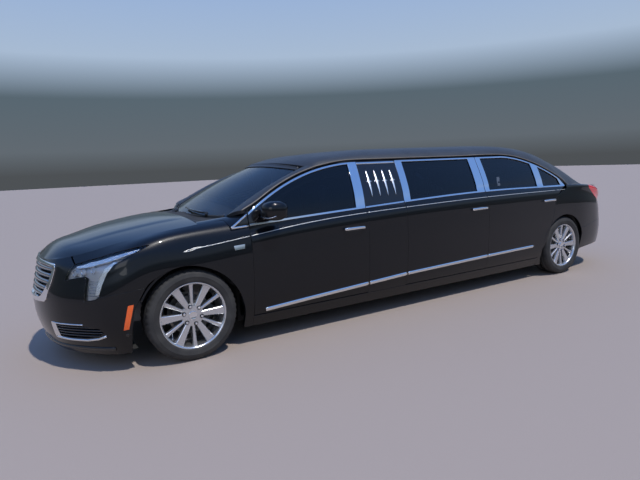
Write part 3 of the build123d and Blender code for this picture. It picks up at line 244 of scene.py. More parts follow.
def make(name, points, faces, material, body, normals=None, replaces=(), smooth=True):
    """One piece from points in the frame's axes; it rides on a body."""
    mesh = bpy.data.meshes.new(name)
    mesh.from_pydata([tuple(map(float, p)) for p in points], [], [tuple(map(int, f)) for f in faces])
    mesh.validate(clean_customdata=False)
    mesh.materials.append(MATERIALS[material])
    if smooth:
        mesh.shade_smooth()
    if normals is not None and len(normals) == len(mesh.vertices):
        mesh.normals_split_custom_set_from_vertices([tuple(map(float, n)) for n in normals])
    piece = bpy.data.objects.new(name, mesh)
    bpy.context.scene.collection.objects.link(piece)
    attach(piece, body)
    if replaces:
        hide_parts(*replaces)
    return piece


def flip(points):
    out = np.array(points, float)
    out[:, 1] *= -1
    return out


def both(name, points, faces, material, body, normals=None, replaces=(), smooth=True):
    """A left piece and its mirror image on the right."""
    make(name, points, faces, material, body, normals, replaces, smooth)
    other = lambda text: text.replace("left", "right")
    turned_faces = [tuple(reversed(f)) for f in faces]
    turned_normals = None if normals is None else flip(normals)
    others = tuple(other(node) for node in replaces)
    make(other(name), flip(points), turned_faces, material, other(body), turned_normals, others, smooth)


def unit(vectors):
    return vectors / np.maximum(np.linalg.norm(vectors, axis=-1, keepdims=True), 1e-12)


def spline_matrix(knots):
    """Second derivatives of the natural cubic spline through the knots, as a matrix of the values."""
    count = len(knots)
    gaps = np.diff(knots)
    left = np.eye(count)
    right = np.zeros((count, count))
    for i in range(1, count - 1):
        left[i, i - 1 : i + 2] = gaps[i - 1] / 6, (gaps[i - 1] + gaps[i]) / 3, gaps[i] / 6
        right[i, i - 1 : i + 2] = 1 / gaps[i - 1], -1 / gaps[i - 1] - 1 / gaps[i], 1 / gaps[i]
    return np.linalg.solve(left, right)


def spline_weights(knots, bend, at):
    """How much each knot's value counts at each place."""
    at = np.clip(at, knots[0], knots[-1])
    i = np.clip(np.searchsorted(knots, at) - 1, 0, len(knots) - 2)
    gap = knots[i + 1] - knots[i]
    b = (at - knots[i]) / gap
    a = 1 - b
    rows = np.arange(len(at))
    weights = np.zeros((len(at), len(knots)))
    weights[rows, i] += a
    weights[rows, i + 1] += b
    weights += ((a**3 - a) * gap**2 / 6)[:, None] * bend[i]
    weights += ((b**3 - b) * gap**2 / 6)[:, None] * bend[i + 1]
    return weights


def track(points, at):
    """A smooth curve through a few rows (place, value, ...), read at one or more places."""
    table = np.array(points, float)
    knots = table[:, 0]
    weights = spline_weights(knots, spline_matrix(knots), np.atleast_1d(np.array(at, float)))
    return weights @ table[:, 1:]


def value_at(points, at):
    """The first value of such a curve at one place."""
    return float(track(points, at)[0][0])


class Net:
    """A smooth surface through a net of points (back, y, z): columns of rows."""

    def __init__(self, columns, whole=False):
        if whole:
            columns = list(columns) + [[(b, -y, z) for b, y, z in rows] for rows in reversed(columns[:-1])]
        self.whole = whole
        self.points = to_world(columns)
        self.s = self.running(0)
        self.v = self.running(1)
        self.s_bend = spline_matrix(self.s)
        self.v_bend = spline_matrix(self.v)
        self.sign = 1.0
        middle_s, middle_v = self.s[len(self.s) // 4], self.v[len(self.v) // 2]
        place = self.at([middle_s], [middle_v])[0]
        outward = place - np.array([place[0] * 0.8, 0, 0.55])
        if self.normal([middle_s], [middle_v])[0] @ outward < 0:
            self.sign = -1.0

    def running(self, axis):
        steps = np.linalg.norm(np.diff(self.points, axis=axis), axis=2).mean(axis=1 - axis)
        return np.concatenate([[0], np.cumsum(steps)])

    def across(self, loop):
        """A left half outline that starts and ends on the middle line, joined to its mirror image."""
        loop = np.array(loop, float)
        middle = self.s[-1] / 2
        loop[0, 0] = loop[-1, 0] = middle
        other = loop[1:-1][::-1].copy()
        other[:, 0] = 2 * middle - other[:, 0]
        return np.concatenate([loop, other])

    def mirrored(self, loop):
        loop = np.array(loop, float)[::-1].copy()
        loop[:, 0] = self.s[-1] - loop[:, 0]
        return loop

    def at(self, s, v):
        ws = spline_weights(self.s, self.s_bend, np.asarray(s, float))
        wv = spline_weights(self.v, self.v_bend, np.asarray(v, float))
        return np.einsum("nk,nr,krc->nc", ws, wv, self.points)

    def normal(self, s, v, reach=0.004):
        s, v = np.asarray(s, float), np.asarray(v, float)
        s_low, s_high = np.maximum(s - reach, self.s[0]), np.minimum(s + reach, self.s[-1])
        v_low, v_high = np.maximum(v - reach, self.v[0]), np.minimum(v + reach, self.v[-1])
        along = self.at(s_high, v) - self.at(s_low, v)
        up = self.at(s, v_high) - self.at(s, v_low)
        return self.sign * unit(np.cross(along, up))

    def lifted(self, where, lift=0.0):
        """Places and normals at rows of (s, v), raised from the surface."""
        normals = self.normal(where[:, 0], where[:, 1])
        return self.at(where[:, 0], where[:, 1]) + normals * lift, normals

    def find(self, targets):
        """The (s, v) nearest to points given as (back, y, z), where nan means any."""
        targets = to_world(np.array(targets, float))
        known = ~np.isnan(targets)
        goal = np.where(known, targets, 0)
        coarse = 56
        last_s = self.s[-1] / 2 if self.whole else self.s[-1]
        grid_s, grid_v = np.meshgrid(
            np.linspace(self.s[0], last_s, coarse), np.linspace(self.v[0], self.v[-1], coarse)
        )
        places = self.at(grid_s.ravel(), grid_v.ravel())
        gap = ((places[None] - goal[:, None]) ** 2 * known[:, None]).sum(axis=2)
        best = gap.argmin(axis=1)
        s, v = grid_s.ravel()[best], grid_v.ravel()[best]
        reach_s = (last_s - self.s[0]) / coarse
        reach_v = (self.v[-1] - self.v[0]) / coarse
        moves = np.array([(i, j) for i in (-1, 0, 1) for j in (-1, 0, 1)], float)
        for _ in range(16):
            try_s = np.clip(s[:, None] + moves[None, :, 0] * reach_s, self.s[0], last_s)
            try_v = np.clip(v[:, None] + moves[None, :, 1] * reach_v, self.v[0], self.v[-1])
            places = self.at(try_s.ravel(), try_v.ravel()).reshape(len(s), 9, 3)
            best = (((places - goal[:, None]) ** 2) * known[:, None]).sum(axis=2).argmin(axis=1)
            rows = np.arange(len(s))
            s, v = try_s[rows, best], try_v[rows, best]
            reach_s *= 0.62
            reach_v *= 0.62
        return np.stack([s, v], axis=1)


ANY = float("nan")


def inside(points, loop):
    """Which 2-D points lie inside a closed loop."""
    x, y = points[:, 0], points[:, 1]
    result = np.zeros(len(points), bool)
    last = loop[-1]
    for here in loop:
        crosses = (here[1] > y) != (last[1] > y)
        with np.errstate(divide="ignore", invalid="ignore"):
            at = (last[0] - here[0]) * (y - here[1]) / (last[1] - here[1]) + here[0]
        result ^= crosses & (x < at)
        last = here
    return result


def away(points, loop, least):
    """Which 2-D points lie at least that far from a closed loop."""
    a = loop
    b = np.roll(loop, -1, axis=0)
    ab = b - a
    length = np.maximum((ab**2).sum(axis=1), 1e-12)
    ok = np.ones(len(points), bool)
    for start in range(0, len(points), 2000):
        p = points[start : start + 2000]
        t = np.clip(((p[:, None] - a[None]) * ab[None]).sum(axis=2) / length, 0, 1)
        near = a[None] + t[..., None] * ab[None]
        ok[start : start + 2000] = ((p[:, None] - near) ** 2).sum(axis=2).min(axis=1) > least**2
    return ok


def fine(loop, step, closed=True):
    """A polyline with its long runs divided."""
    loop = np.array(loop, float)
    ends = np.roll(loop, -1, axis=0) if closed else loop[1:]
    out = []
    for a, b in zip(loop, ends):
        count = max(1, int(math.ceil(np.linalg.norm(np.nan_to_num(b - a)) / step)))
        out.extend(a + (b - a) * i / count for i in range(count))
    if not closed:
        out.append(loop[-1])
    return np.array(out)


def signed_area(loop):
    x, y = loop[:, 0], loop[:, 1]
    return 0.5 * (x * np.roll(y, -1) - y * np.roll(x, -1)).sum()


def shrunk(loop, amount):
    """A closed loop drawn in by an amount (or let out, if negative)."""
    loop = np.array(loop, float)
    if signed_area(loop) < 0:
        loop = loop[::-1]
    before = unit(loop - np.roll(loop, 1, axis=0))
    after = unit(np.roll(loop, -1, axis=0) - loop)
    turn_in = lambda d: np.stack([-d[:, 1], d[:, 0]], axis=1)
    a, b = turn_in(before), turn_in(after)
    middle = unit(a + b)
    cos_half = np.maximum((middle * a).sum(axis=1), 0.35)
    return loop + middle * (amount / cos_half)[:, None]


def flat_mesh(loop, holes, step):
    """Triangles that fill a loop, less its holes."""
    loops = [fine(loop, step * 0.7)] + [fine(hole, step * 0.7) for hole in holes]
    low, high = loops[0].min(axis=0), loops[0].max(axis=0)
    xs = np.arange(low[0] + step / 2, high[0], step)
    ys = np.arange(low[1] + step / 2, high[1], step)
    grid = np.stack(np.meshgrid(xs, ys), axis=-1).reshape(-1, 2)
    keep = inside(grid, loops[0]) & away(grid, loops[0], step * 0.45)
    for hole in loops[1:]:
        keep &= ~inside(grid, hole) & away(grid, hole, step * 0.45)
    points = np.concatenate(loops + [grid[keep]])
    edges = []
    start = 0
    for ring in loops:
        edges += [(start + i, start + (i + 1) % len(ring)) for i in range(len(ring))]
        start += len(ring)
    result = delaunay_2d_cdt([Vector(map(float, p)) for p in points], edges, [], 0, 1e-7)
    flat = np.array([tuple(p) for p in result[0]])
    faces = np.array([f for f in result[2] if len(f) == 3])
    middle = flat[faces].mean(axis=1)
    keep = inside(middle, loops[0])
    for hole in loops[1:]:
        keep &= ~inside(middle, hole)
    faces = faces[keep]
    used = np.unique(faces)
    renumber = np.full(len(flat), -1)
    renumber[used] = np.arange(len(used))
    return flat[used], renumber[faces]


def shell_mesh(net, loop, holes=(), step=0.03, depth=0.012, edge=0.003, lift=0.0):
    """A panel on a net's surface with a rounded edge turned inwards: points, faces and normals."""
    flat, faces = flat_mesh(loop, holes, step)
    places = net.at(flat[:, 0], flat[:, 1])
    normals = net.normal(flat[:, 0], flat[:, 1])
    places = places + normals * lift
    a, b, c = places[faces[:, 0]], places[faces[:, 1]], places[faces[:, 2]]
    facing = np.einsum("nc,nc->n", np.cross(b - a, c - a), normals[faces[:, 0]])
    if np.median(facing) < 0:
        faces = faces[:, ::-1]
    directed = {(int(f[i]), int(f[(i + 1) % 3])) for f in faces for i in range(3)}
    rim = [(i, j) for i, j in directed if (j, i) not in directed]
    after = {i: j for i, j in rim}
    before = {j: i for i, j in rim}
    ring = sorted(set(after) & set(before))
    index = {v: k for k, v in enumerate(ring)}
    here = places[ring]
    run = unit(places[[after[v] for v in ring]] - here) + unit(here - places[[before[v] for v in ring]])
    out = unit(np.cross(unit(run), normals[ring]))
    up = normals[ring]
    levels = (
        (here + out * edge * 0.7 - up * edge * 0.3, unit(out + up)),
        (here + out * edge - up * edge, out),
        (here + out * edge - up * depth, out),
    )
    count = len(places)
    points = [places] + [level[0] for level in levels]
    all_normals = [normals] + [level[1] for level in levels]
    quads = []
    for i, j in rim:
        if i not in index or j not in index:
            continue
        a, b = index[i], index[j]
        previous = (i, j)
        for level in range(len(levels)):
            start = count + level * len(ring)
            quads.append((previous[1], previous[0], start + a, start + b))
            previous = (start + a, start + b)
    return np.concatenate(points), [tuple(f) for f in faces] + quads, np.concatenate(all_normals)


def piece_maker(mirror):
    return both if mirror else make


def panel(name, net, loop, material, body, replaces=(), mirror=True, **shape):
    points, faces, normals = shell_mesh(net, loop, **shape)
    piece_maker(mirror)(name, points, faces, material, body, normals, replaces)


def row_at(runs, v):
    """Rows of (s, v) with one v."""
    return np.stack([runs, np.full(len(runs), v)], axis=1)


def on_net(net, targets, step=0.02, lift=0.0, closed=False):
    """A path along a surface through points (back, y, z): places and surface normals."""
    return net.lifted(net.find(fine(np.array(targets, float), step, closed)), lift)


def swept(path, normals, profile, closed=False, scale=None, capped=True):
    """A bar along a path: the profile is (across, out) points, across = path direction x normal."""
    path = np.array(path, float)
    if closed:
        run = np.roll(path, -1, axis=0) - np.roll(path, 1, axis=0)
    else:
        run = np.gradient(path, axis=0)
    run = unit(run)
    normals = unit(np.array(normals, float))
    side = unit(np.cross(run, normals))
    up = unit(np.cross(side, run))
    profile = np.array(profile, float)
    scale = np.ones(len(path)) if scale is None else np.array(scale, float)
    points = (
        path[:, None]
        + side[:, None] * (profile[None, :, :1] * scale[:, None, None])
        + up[:, None] * (profile[None, :, 1:] * scale[:, None, None])
    )
    count = len(profile)
    faces = []
    rings = len(path) if closed else len(path) - 1
    for i in range(rings):
        j = (i + 1) % len(path)
        for k in range(count):
            m = (k + 1) % count
            faces.append((i * count + k, i * count + m, j * count + m, j * count + k))
    if capped and not closed:
        faces.append(tuple(range(count - 1, -1, -1)))
        faces.append(tuple((len(path) - 1) * count + k for k in range(count)))
    return points.reshape(-1, 3), faces


def half_round(width, height, sides=8, foot=0.002):
    """A low rounded bar's section, standing on the surface."""
    arc = [
        (width / 2 * math.cos(math.pi * i / sides), height * math.sin(math.pi * i / sides))
        for i in range(sides + 1)
    ]
    return [(width / 2, -foot)] + arc + [(-width / 2, -foot)]


def circle_profile(radius, sides=10):
    return [
        (radius * math.cos(2 * math.pi * i / sides), radius * math.sin(2 * math.pi * i / sides))
        for i in range(sides)
    ]


def strip(name, net, targets, width, height, material, body, mirror=True, lift=0.0):
    """A low rounded bar along a surface."""
    path, normals = on_net(net, targets, lift=lift)
    points, faces = swept(path, normals, half_round(width, height))
    piece_maker(mirror)(name, points, faces, material, body)


def bar(name, path, radius, material, body, mirror=False, up=(0, 0, 1), scale=None):
    """A round bar along points in the frame's axes."""
    points, faces = swept(path, np.tile(up, (len(path), 1)), circle_profile(radius), scale=scale)
    piece_maker(mirror)(name, points, faces, material, body)


def arc_through(a, b, c, count=16):
    """Points on the circular arc from a over b to c, in the plane."""
    a, b, c = (np.array(p, float) for p in (a, b, c))
    matrix = np.array([b - a, c - a]) * 2
    right = np.array([b @ b - a @ a, c @ c - a @ a])
    centre = np.linalg.solve(matrix, right)
    angles = [math.atan2(*(p - centre)[::-1]) for p in (a, b, c)]
    start, middle, end = angles
    turn = (end - start) % (2 * math.pi)
    if (middle - start) % (2 * math.pi) > turn:
        turn -= 2 * math.pi
    radius = np.linalg.norm(a - centre)
    return [
        centre + radius * np.array([math.cos(start + turn * i / count), math.sin(start + turn * i / count)])
        for i in range(count + 1)
    ]


# The body's side, as sections from the sill to the roof rail

HALF = 0.926
SILL_Z = 0.155
BELT_Z = 1.10
RAIL_Z = 1.463
SHUT = 0.006
CREASE = ((0.08, 0.862), (0.47, 0.905), (0.95, 0.955), (1.51, 0.985), (2.14, 1.008), (3.26, 1.027), (4.56, 1.029))
BULGE = ((0.08, 0.665), (0.92, 0.715), (1.65, 0.75), (3.24, 0.762), (3.76, 0.752), (4.56, 0.73))
BELT = ((0.35, 0.99), (0.88, 1.017), (1.65, 1.050), (3.30, 1.098), (4.02, 1.092), (4.65, 1.08))


def glass_y(z):
    """How far out the side glass lies at a height."""
    if z < BELT_Z:
        return 0.858 + (BELT_Z - z) * 0.2
    share = (z - BELT_Z) / 0.33
    return 0.858 - 0.19 * share + 0.010 * math.sin(math.pi * min(share, 1))


def side_section(back):
    crease, bulge, belt = (value_at(line, back) for line in (CREASE, BULGE, BELT))
    low = [(0.842, SILL_Z), (0.892, 0.30), (0.910, 0.40), (0.920, 0.56)]
    middle = [(HALF, bulge), (0.921, (bulge + crease) / 2 + 0.01), (0.903, crease), (0.886, crease + 0.030)]
    high = [(glass_y(belt + 0.012), belt + 0.012)]
    high += [(glass_y(z), z) for z in (1.16, 1.24, 1.32, 1.40, 1.463)]
    return [(back, y, z) for y, z in low + middle + high]


SIDE = Net([side_section(back) for back in (0.35, 0.85, 1.5, 2.2, 2.9, 3.6, 4.2, 4.75)])

APERTURE = {
    # corners of the opening that one side's doors fill: back, z
    "front_low": (0.500, 0.255), "front_top": (0.500, 1.095), "pillar_mid": (1.040, 1.355),
    "rail_front": (1.725, RAIL_Z), "rail_rear": (3.755, RAIL_Z), "quarter_mid": (4.255, 1.353),
    "tail": (4.660, 1.123), "tail_low": (4.660, 1.081), "waist": (4.430, 0.955),
    "arch_mid": (4.345, 0.640), "arch_low": (4.150, 0.255),
}


def top_line():
    a = APERTURE
    front = arc_through(a["front_top"], a["pillar_mid"], a["rail_front"], 24)
    rear = arc_through(a["rail_rear"], a["quarter_mid"], a["tail"], 20)
    return np.array(front + rear)


TOP_LINE = top_line()
LEAN = 0.080
LEAN_TOP = RAIL_Z + 0.1


def cut_back(back, z):
    """Where a shut line or window edge lies at a height: it leans rearwards above the belt."""
    return back + LEAN * max(0, z - BELT_Z) / (LEAN_TOP - BELT_Z)


def top_at(line, back_at_belt):
    """Where a leaning line meets the curve over the doors."""
    fine_line = fine(line, 0.005, closed=False)
    gap = [abs(b - cut_back(back_at_belt, z)) for b, z in fine_line]
    return int(np.argmin(gap)), fine_line


def top_between(line, front, rear):
    start, fine_line = top_at(line, front)
    end, _ = top_at(line, rear)
    picks = np.linspace(start, end, max(3, int(abs(end - start) / 6))).astype(int)
    return [tuple(fine_line[i]) for i in picks]


def lowered(line, amount):
    """The curve over the doors, drawn in."""
    run = unit(np.gradient(line, axis=0))
    return line + np.stack([run[:, 1], -run[:, 0]], axis=1) * amount


def belt_at(back):
    return value_at(BELT, back)


DOORS = (
    # name, front cut, rear cut, front frame, rear frame
    ("front", 0.500, 1.650, 0.120, 0.100),
    ("middle", 2.110, 3.250, 0.085, 0.115),
    ("rear", 3.250, 5.200, 0.075, 0.060),
)
QUARTER_GLASS, QUARTER_POST = 4.140, 0.105
FRAME_TOP = 0.017


def door_outline(name, front, rear):
    """A door's outline from the side as (back, z), a shut gap inside the cuts."""
    a = APERTURE
    front, rear = front + SHUT / 2, rear - SHUT / 2
    over = lowered(TOP_LINE, SHUT)
    bottom = a["front_low"][1] + SHUT / 2
    if name != "rear":
        upper = top_between(over, front, rear)
        if name == "front":
            upper[0] = (front, a["front_top"][1])
        rise = [] if name == "front" else [(front, BELT_Z)]
        return [(front, bottom)] + rise + upper + [(rear, BELT_Z), (rear, bottom)]
    upper = top_between(over, front, a["tail"][0] - SHUT - 0.078)
    upper[-1] = (a["tail"][0] - SHUT, a["tail"][1] - 0.003)
    edge = arc_through(a["waist"], a["arch_mid"], a["arch_low"], 16)
    edge = [(b - SHUT, z) for b, z in edge]
    edge[-1] = (edge[-1][0], bottom)
    return [(front, bottom), (front, BELT_Z)] + upper + [(a["tail_low"][0] - SHUT, a["tail_low"][1])] + edge


def window_outline(front, rear, grow=0.0, tail=False):
    """A window from the side as (back, z)."""
    over = lowered(TOP_LINE, SHUT + FRAME_TOP - grow)
    front, rear = front - grow, rear + grow
    if tail:
        start, fine_line = top_at(over, front)
        upper = [tuple(p) for p in fine_line[start::6] if p[0] < rear - 0.02]
        end = [(min(rear, upper[-1][0] + 0.02), belt_at(min(rear, 4.65)) + 0.004 - grow)]
    else:
        upper = top_between(over, front, rear)
        end = [(rear, belt_at(rear) - grow)]
    low = belt_at(front) - grow
    return [(front, low)] + [p for p in upper if p[1] > low + 0.01] + end


def side_targets(points):
    """Points on a side given by place along the car and height."""
    return [(b, ANY, z) for b, z in points]


def side_loop(outline):
    return SIDE.find(side_targets(outline))


def door_windows(name, front, rear, front_frame, rear_frame, grow=0.0):
    if name != "rear":
        return [window_outline(front + front_frame, rear - rear_frame, grow)]
    return [
        window_outline(front + front_frame, QUARTER_GLASS, grow),
        window_outline(QUARTER_GLASS + QUARTER_POST, 4.60, grow, tail=True),
    ]


def make_doors():
    trim = {"lift": -0.040, "depth": -0.022, "step": 0.05}
    glass = {"lift": -0.008, "depth": 0.004, "edge": 0.0005}
    for door in DOORS:
        name, front, rear = door[:3]
        body = f"door_{name}_left"
        outline = side_loop(door_outline(name, front, rear))
        holes = [side_loop(opening) for opening in door_windows(*door)]
        panel(f"door_skin_{name}_left", SIDE, outline, "paint", body, (body,), holes=holes, depth=0.016)
        inner_holes = [shrunk(hole, -0.006) for hole in holes]
        inner = shrunk(outline, 0.030)
        panel(f"door_trim_{name}_left", SIDE, inner, "dash", body, holes=inner_holes, **trim)
        for index, window in enumerate(door_windows(*door, 0.004)):
            kind, replaced = ("quarter", ()) if index else ("window", (f"window_{name}_left",))
            panel(f"{kind}_glass_{name}_left", SIDE, side_loop(window), "glass", body, replaced, **glass)


make_doors()


# Front of the body: one net from the front door's cut round to the middle of the nose

def blend_rows(side, nose, share):
    return [a + (b - a) * share for a, b in zip(side, nose)]


def wrap_column(here, outward, heights, insets, edge, rise, swell):
    """One column of a body net: up the flank at `here`, then over the top to the edge point."""
    (x, y), (nx, ny) = here, outward
    rows = [(-(x - inset * nx), y - inset * ny, z) for z, inset in zip(heights, insets)]
    last = np.array(rows[-1])
    end = np.array((-edge[0], edge[1], edge[2]))
    middle = last + (end - last) * rise
    middle += np.array((-nx, ny, 1.0)) / math.sqrt(2) * swell
    return rows + [tuple(middle), tuple(end)]


def plan_normals(line):
    line = np.array(line, float)
    run = unit(np.gradient(line, axis=0))
    out = np.stack([run[:, 1], -run[:, 0]], axis=1)
    return out if out[0][1] > 0 else -out


FRONT_COLUMNS = (
    # ahead of the front axle and half width at the bumper's height, hood line point, share of nose
    (-0.56, 0.926, -0.56, 0.745, 1.062, 0.0),
    (-0.30, 0.926, -0.30, 0.758, 1.040, 0.0),
    (0.00, 0.926, 0.00, 0.770, 1.014, 0.0),
    (0.20, 0.926, 0.18, 0.758, 0.992, 0.0),
    (0.36, 0.924, 0.33, 0.728, 0.965, 0.15),
    (0.48, 0.908, 0.45, 0.684, 0.938, 0.45),
    (0.58, 0.858, 0.56, 0.630, 0.906, 0.75),
    (0.68, 0.768, 0.67, 0.566, 0.874, 0.95),
    (0.78, 0.655, 0.76, 0.500, 0.850, 1.0),
    (0.88, 0.515, 0.85, 0.405, 0.832, 1.0),
    (0.955, 0.345, 0.905, 0.270, 0.822, 1.0),
    (0.998, 0.160, 0.925, 0.130, 0.817, 1.0),
    (1.012, 0.000, 0.930, 0.000, 0.816, 1.0),
)
SIDE_HEIGHTS = (0.155, 0.25, 0.35, 0.45, 0.56, 0.68, 0.78, 0.855, 0.895)
SIDE_INSETS = (0.084, 0.052, 0.024, 0.011, 0.004, 0.0, 0.007, 0.023, 0.037)
NOSE_HEIGHTS = (0.135, 0.21, 0.31, 0.40, 0.49, 0.56, 0.63, 0.70, 0.755)
NOSE_INSETS = (0.085, 0.050, 0.018, 0.003, 0.0, 0.004, 0.018, 0.034, 0.047)


CREASE_FOOT, CREASE_SPAN = 0.56, 0.30


def follow_crease(heights, back, share):
    """Heights on the flank, which rise with the crease line above its foot."""
    lift = value_at(CREASE, back) - CREASE[0][1]
    return [z + lift * (1 - share) * max(0, (z - CREASE_FOOT) / CREASE_SPAN) for z in heights]


def front_net():
    normals = plan_normals([row[:2] for row in FRONT_COLUMNS])
    columns = []
    for (ahead, half, edge_x, edge_y, edge_z, share), out in zip(FRONT_COLUMNS, normals):
        heights = follow_crease(blend_rows(SIDE_HEIGHTS, NOSE_HEIGHTS, share), max(-ahead, CREASE[0][0]), share)
        insets = blend_rows(SIDE_INSETS, NOSE_INSETS, share)
        rise = 0.46 - 0.02 * share
        swell = 0.026 * (1 - share) + 0.007 * share
        columns.append(wrap_column((ahead, half), out, heights, insets, (edge_x, edge_y, edge_z), rise, swell))
    return columns


FRONT = Net(front_net(), whole=True)

# Hood

HOOD_CORNER = (0.128, 0.768, 1.026)
HOOD_EDGE = [(-row[2], row[3], row[4]) for row in FRONT_COLUMNS[2:]]
HOOD_SIDE_ROWS = 8
HOOD_MIDDLE = (
    # the middle line from the cowl to the nose: back, z
    (0.128, 1.066), (0.0, 1.061), (-0.25, 1.030), (-0.50, 0.985), (-0.70, 0.938), (-0.84, 0.892), (-0.93, 0.817),
)
HOOD_SHARES = (1.0, 0.93, 0.82, 0.70, 0.62, 0.56, 0.50, 0.36, 0.18, 0.0)
RIDGE, RIDGE_SHARE = 0.007, 0.59


def hood_columns():
    """Lines from the cowl to the nose, from the left edge of the hood to its middle."""
    side = np.array([HOOD_CORNER] + HOOD_EDGE[:HOOD_SIDE_ROWS])
    front = HOOD_EDGE[HOOD_SIDE_ROWS - 1 :]
    side_run = np.concatenate([[0], np.cumsum(np.linalg.norm(np.diff(side, axis=0), axis=1))])
    side_rows = [(run, *place) for run, place in zip(side_run / side_run[-1], side)]
    front_rows = [(run, *place) for run, place in zip(np.linspace(0, 1, len(front)), front)]
    middle_rows = [(-b, z) for b, z in HOOD_MIDDLE]
    rear, nose = HOOD_MIDDLE[0][0], HOOD_MIDDLE[-1][0]
    lines = []
    for share in HOOD_SHARES:
        end = track(front_rows, 1 - share)[0]
        reach = end[1] / side[-1][1]
        rows = []
        for step in np.linspace(0, 1, 12):
            edge = track(side_rows, step)[0]
            reached = (edge[0] - side[0][0]) / (side[-1][0] - side[0][0])
            y = edge[1] * (share + (reach - share) * reached**2)
            middle = value_at(middle_rows, -(rear + (nose - rear) * reached))
            z = middle + (edge[2] - middle) * share**2.4
            ridge = RIDGE * (1 - step**3) * (1 / (1 + math.exp((share - RIDGE_SHARE) * 60)) - 0.5)
            z += ridge * math.sin(math.pi * min(1, step + 0.12)) ** 0.5 if 0 < step < 1 else 0
            rows.append((rear + (end[0] - rear) * reached, y, z))
        rows[-1] = tuple(end)
        lines.append(rows)
    return lines


HOOD = Net(hood_columns(), whole=True)


def whole_net_loop(net, inset, steps=24):
    """The outline of a whole net, a little inside its edges."""
    s0, s1, v0, v1 = net.s[0] + inset, net.s[-1] - inset, net.v[0] + inset, net.v[-1] - inset
    corners = np.array(((s0, v0), (s1, v0), (s1, v1), (s0, v1)))
    sides = zip(corners, np.roll(corners, -1, axis=0))
    return np.array([a + (b - a) * i / steps for a, b in sides for i in range(steps)])


hood_loop = whole_net_loop(HOOD, 0.003)
panel("hood_skin", HOOD, hood_loop, "paint", "hood", ("hood",), mirror=False, depth=0.014, step=0.035)


def top_run(net, start_s, end_s, inset=0.003, count=30):
    return row_at(np.linspace(start_s, end_s, count), net.v[-1] - inset)


LAMP_TOP = [
    # the lamp's upper edge from the rear tip to the nose: back, z
    (-0.275, 0.920), (-0.340, 0.914), (-0.401, 0.903), (-0.525, 0.870), (-0.647, 0.832), (-0.735, 0.803),
]
FENDER_EDGE = [
    # the lamp's lower rear edge, from the rear tip down the leg's outer side: back, z
    (-0.275, 0.916), (-0.355, 0.884), (-0.446, 0.845), (-0.520, 0.806), (-0.565, 0.750), (-0.605, 0.665),
    (-0.632, 0.592),
]
FRONT_ARCH = (
    # the front wheel's opening, from its rear foot over the top to its front foot: back, z
    (0.422, 0.167), (0.426, 0.274), (0.418, 0.348), (0.393, 0.438), (0.359, 0.511), (0.255, 0.634), (0.067, 0.730),
    (-0.120, 0.738), (-0.281, 0.676), (-0.338, 0.626), (-0.378, 0.562), (-0.423, 0.471), (-0.442, 0.377),
    (-0.450, 0.288), (-0.451, 0.157),
)
ARCH_SEAM = 9


def front_arch(first, last, count):
    """A smooth run of the front wheel's opening between two rows of its table."""
    rows = [(index, *place) for index, place in enumerate(FRONT_ARCH)]
    return [tuple(place) for place in track(rows, np.linspace(first, last, count))]


def make_fender():
    rear_edge = [(0.500 - SHUT / 2, z) for z in (1.0, 0.9, 0.7, 0.5, 0.3, 0.165)]
    seam = [(-0.353, 0.626), (-0.45, 0.618), (-0.56, 0.603), (-0.628, 0.590)]
    upper = [(b, z + 0.004) for b, z in LAMP_TOP]
    arch = front_arch(0, ARCH_SEAM - 0.06, 60)
    loop = FRONT.find(side_targets(rear_edge + [(0.44, 0.158)] + arch + seam + FENDER_EDGE[::-1] + upper))
    top = top_run(FRONT, loop[-1][0] + 0.001, loop[0][0], 0.003, 50)
    outline = np.concatenate([loop, top])
    panel("fender_skin_left", FRONT, outline, "paint", "body", ("front_fender_left",), depth=0.03)


make_fender()


def front_targets(points):
    """Points on the nose given by half width and height, as seen from the front."""
    return [(ANY, y, z) for y, z in points]


GRILLE_OUTLINE = (
    # half width and height, from the top middle down the left side to the bottom middle
    (0.0, 0.806), (0.15, 0.807), (0.30, 0.806), (0.438, 0.798), (0.446, 0.740), (0.436, 0.670), (0.410, 0.600),
    (0.396, 0.545), (0.368, 0.522), (0.20, 0.506), (0.0, 0.502),
)
GRILLE_HOLE = (
    (0.0, 0.790), (0.15, 0.791), (0.30, 0.789), (0.420, 0.781), (0.424, 0.738), (0.404, 0.670), (0.358, 0.600),
    (0.318, 0.558), (0.270, 0.541), (0.15, 0.530), (0.0, 0.527),
)
LAMP_LOW = (
    # from the leg's outer foot round its inner side, under the blade to the inner tip: half width, height
    (0.786, 0.566), (0.718, 0.548), (0.712, 0.600), (0.708, 0.650), (0.704, 0.705), (0.684, 0.718), (0.619, 0.705),
    (0.552, 0.688), (0.560, 0.730), (0.568, 0.765), (0.582, 0.792),
)
FOG_HOLE = (
    (0.462, 0.360), (0.570, 0.366), (0.691, 0.370), (0.790, 0.352), (0.800, 0.318), (0.760, 0.288), (0.680, 0.270),
    (0.560, 0.263), (0.462, 0.264),
)


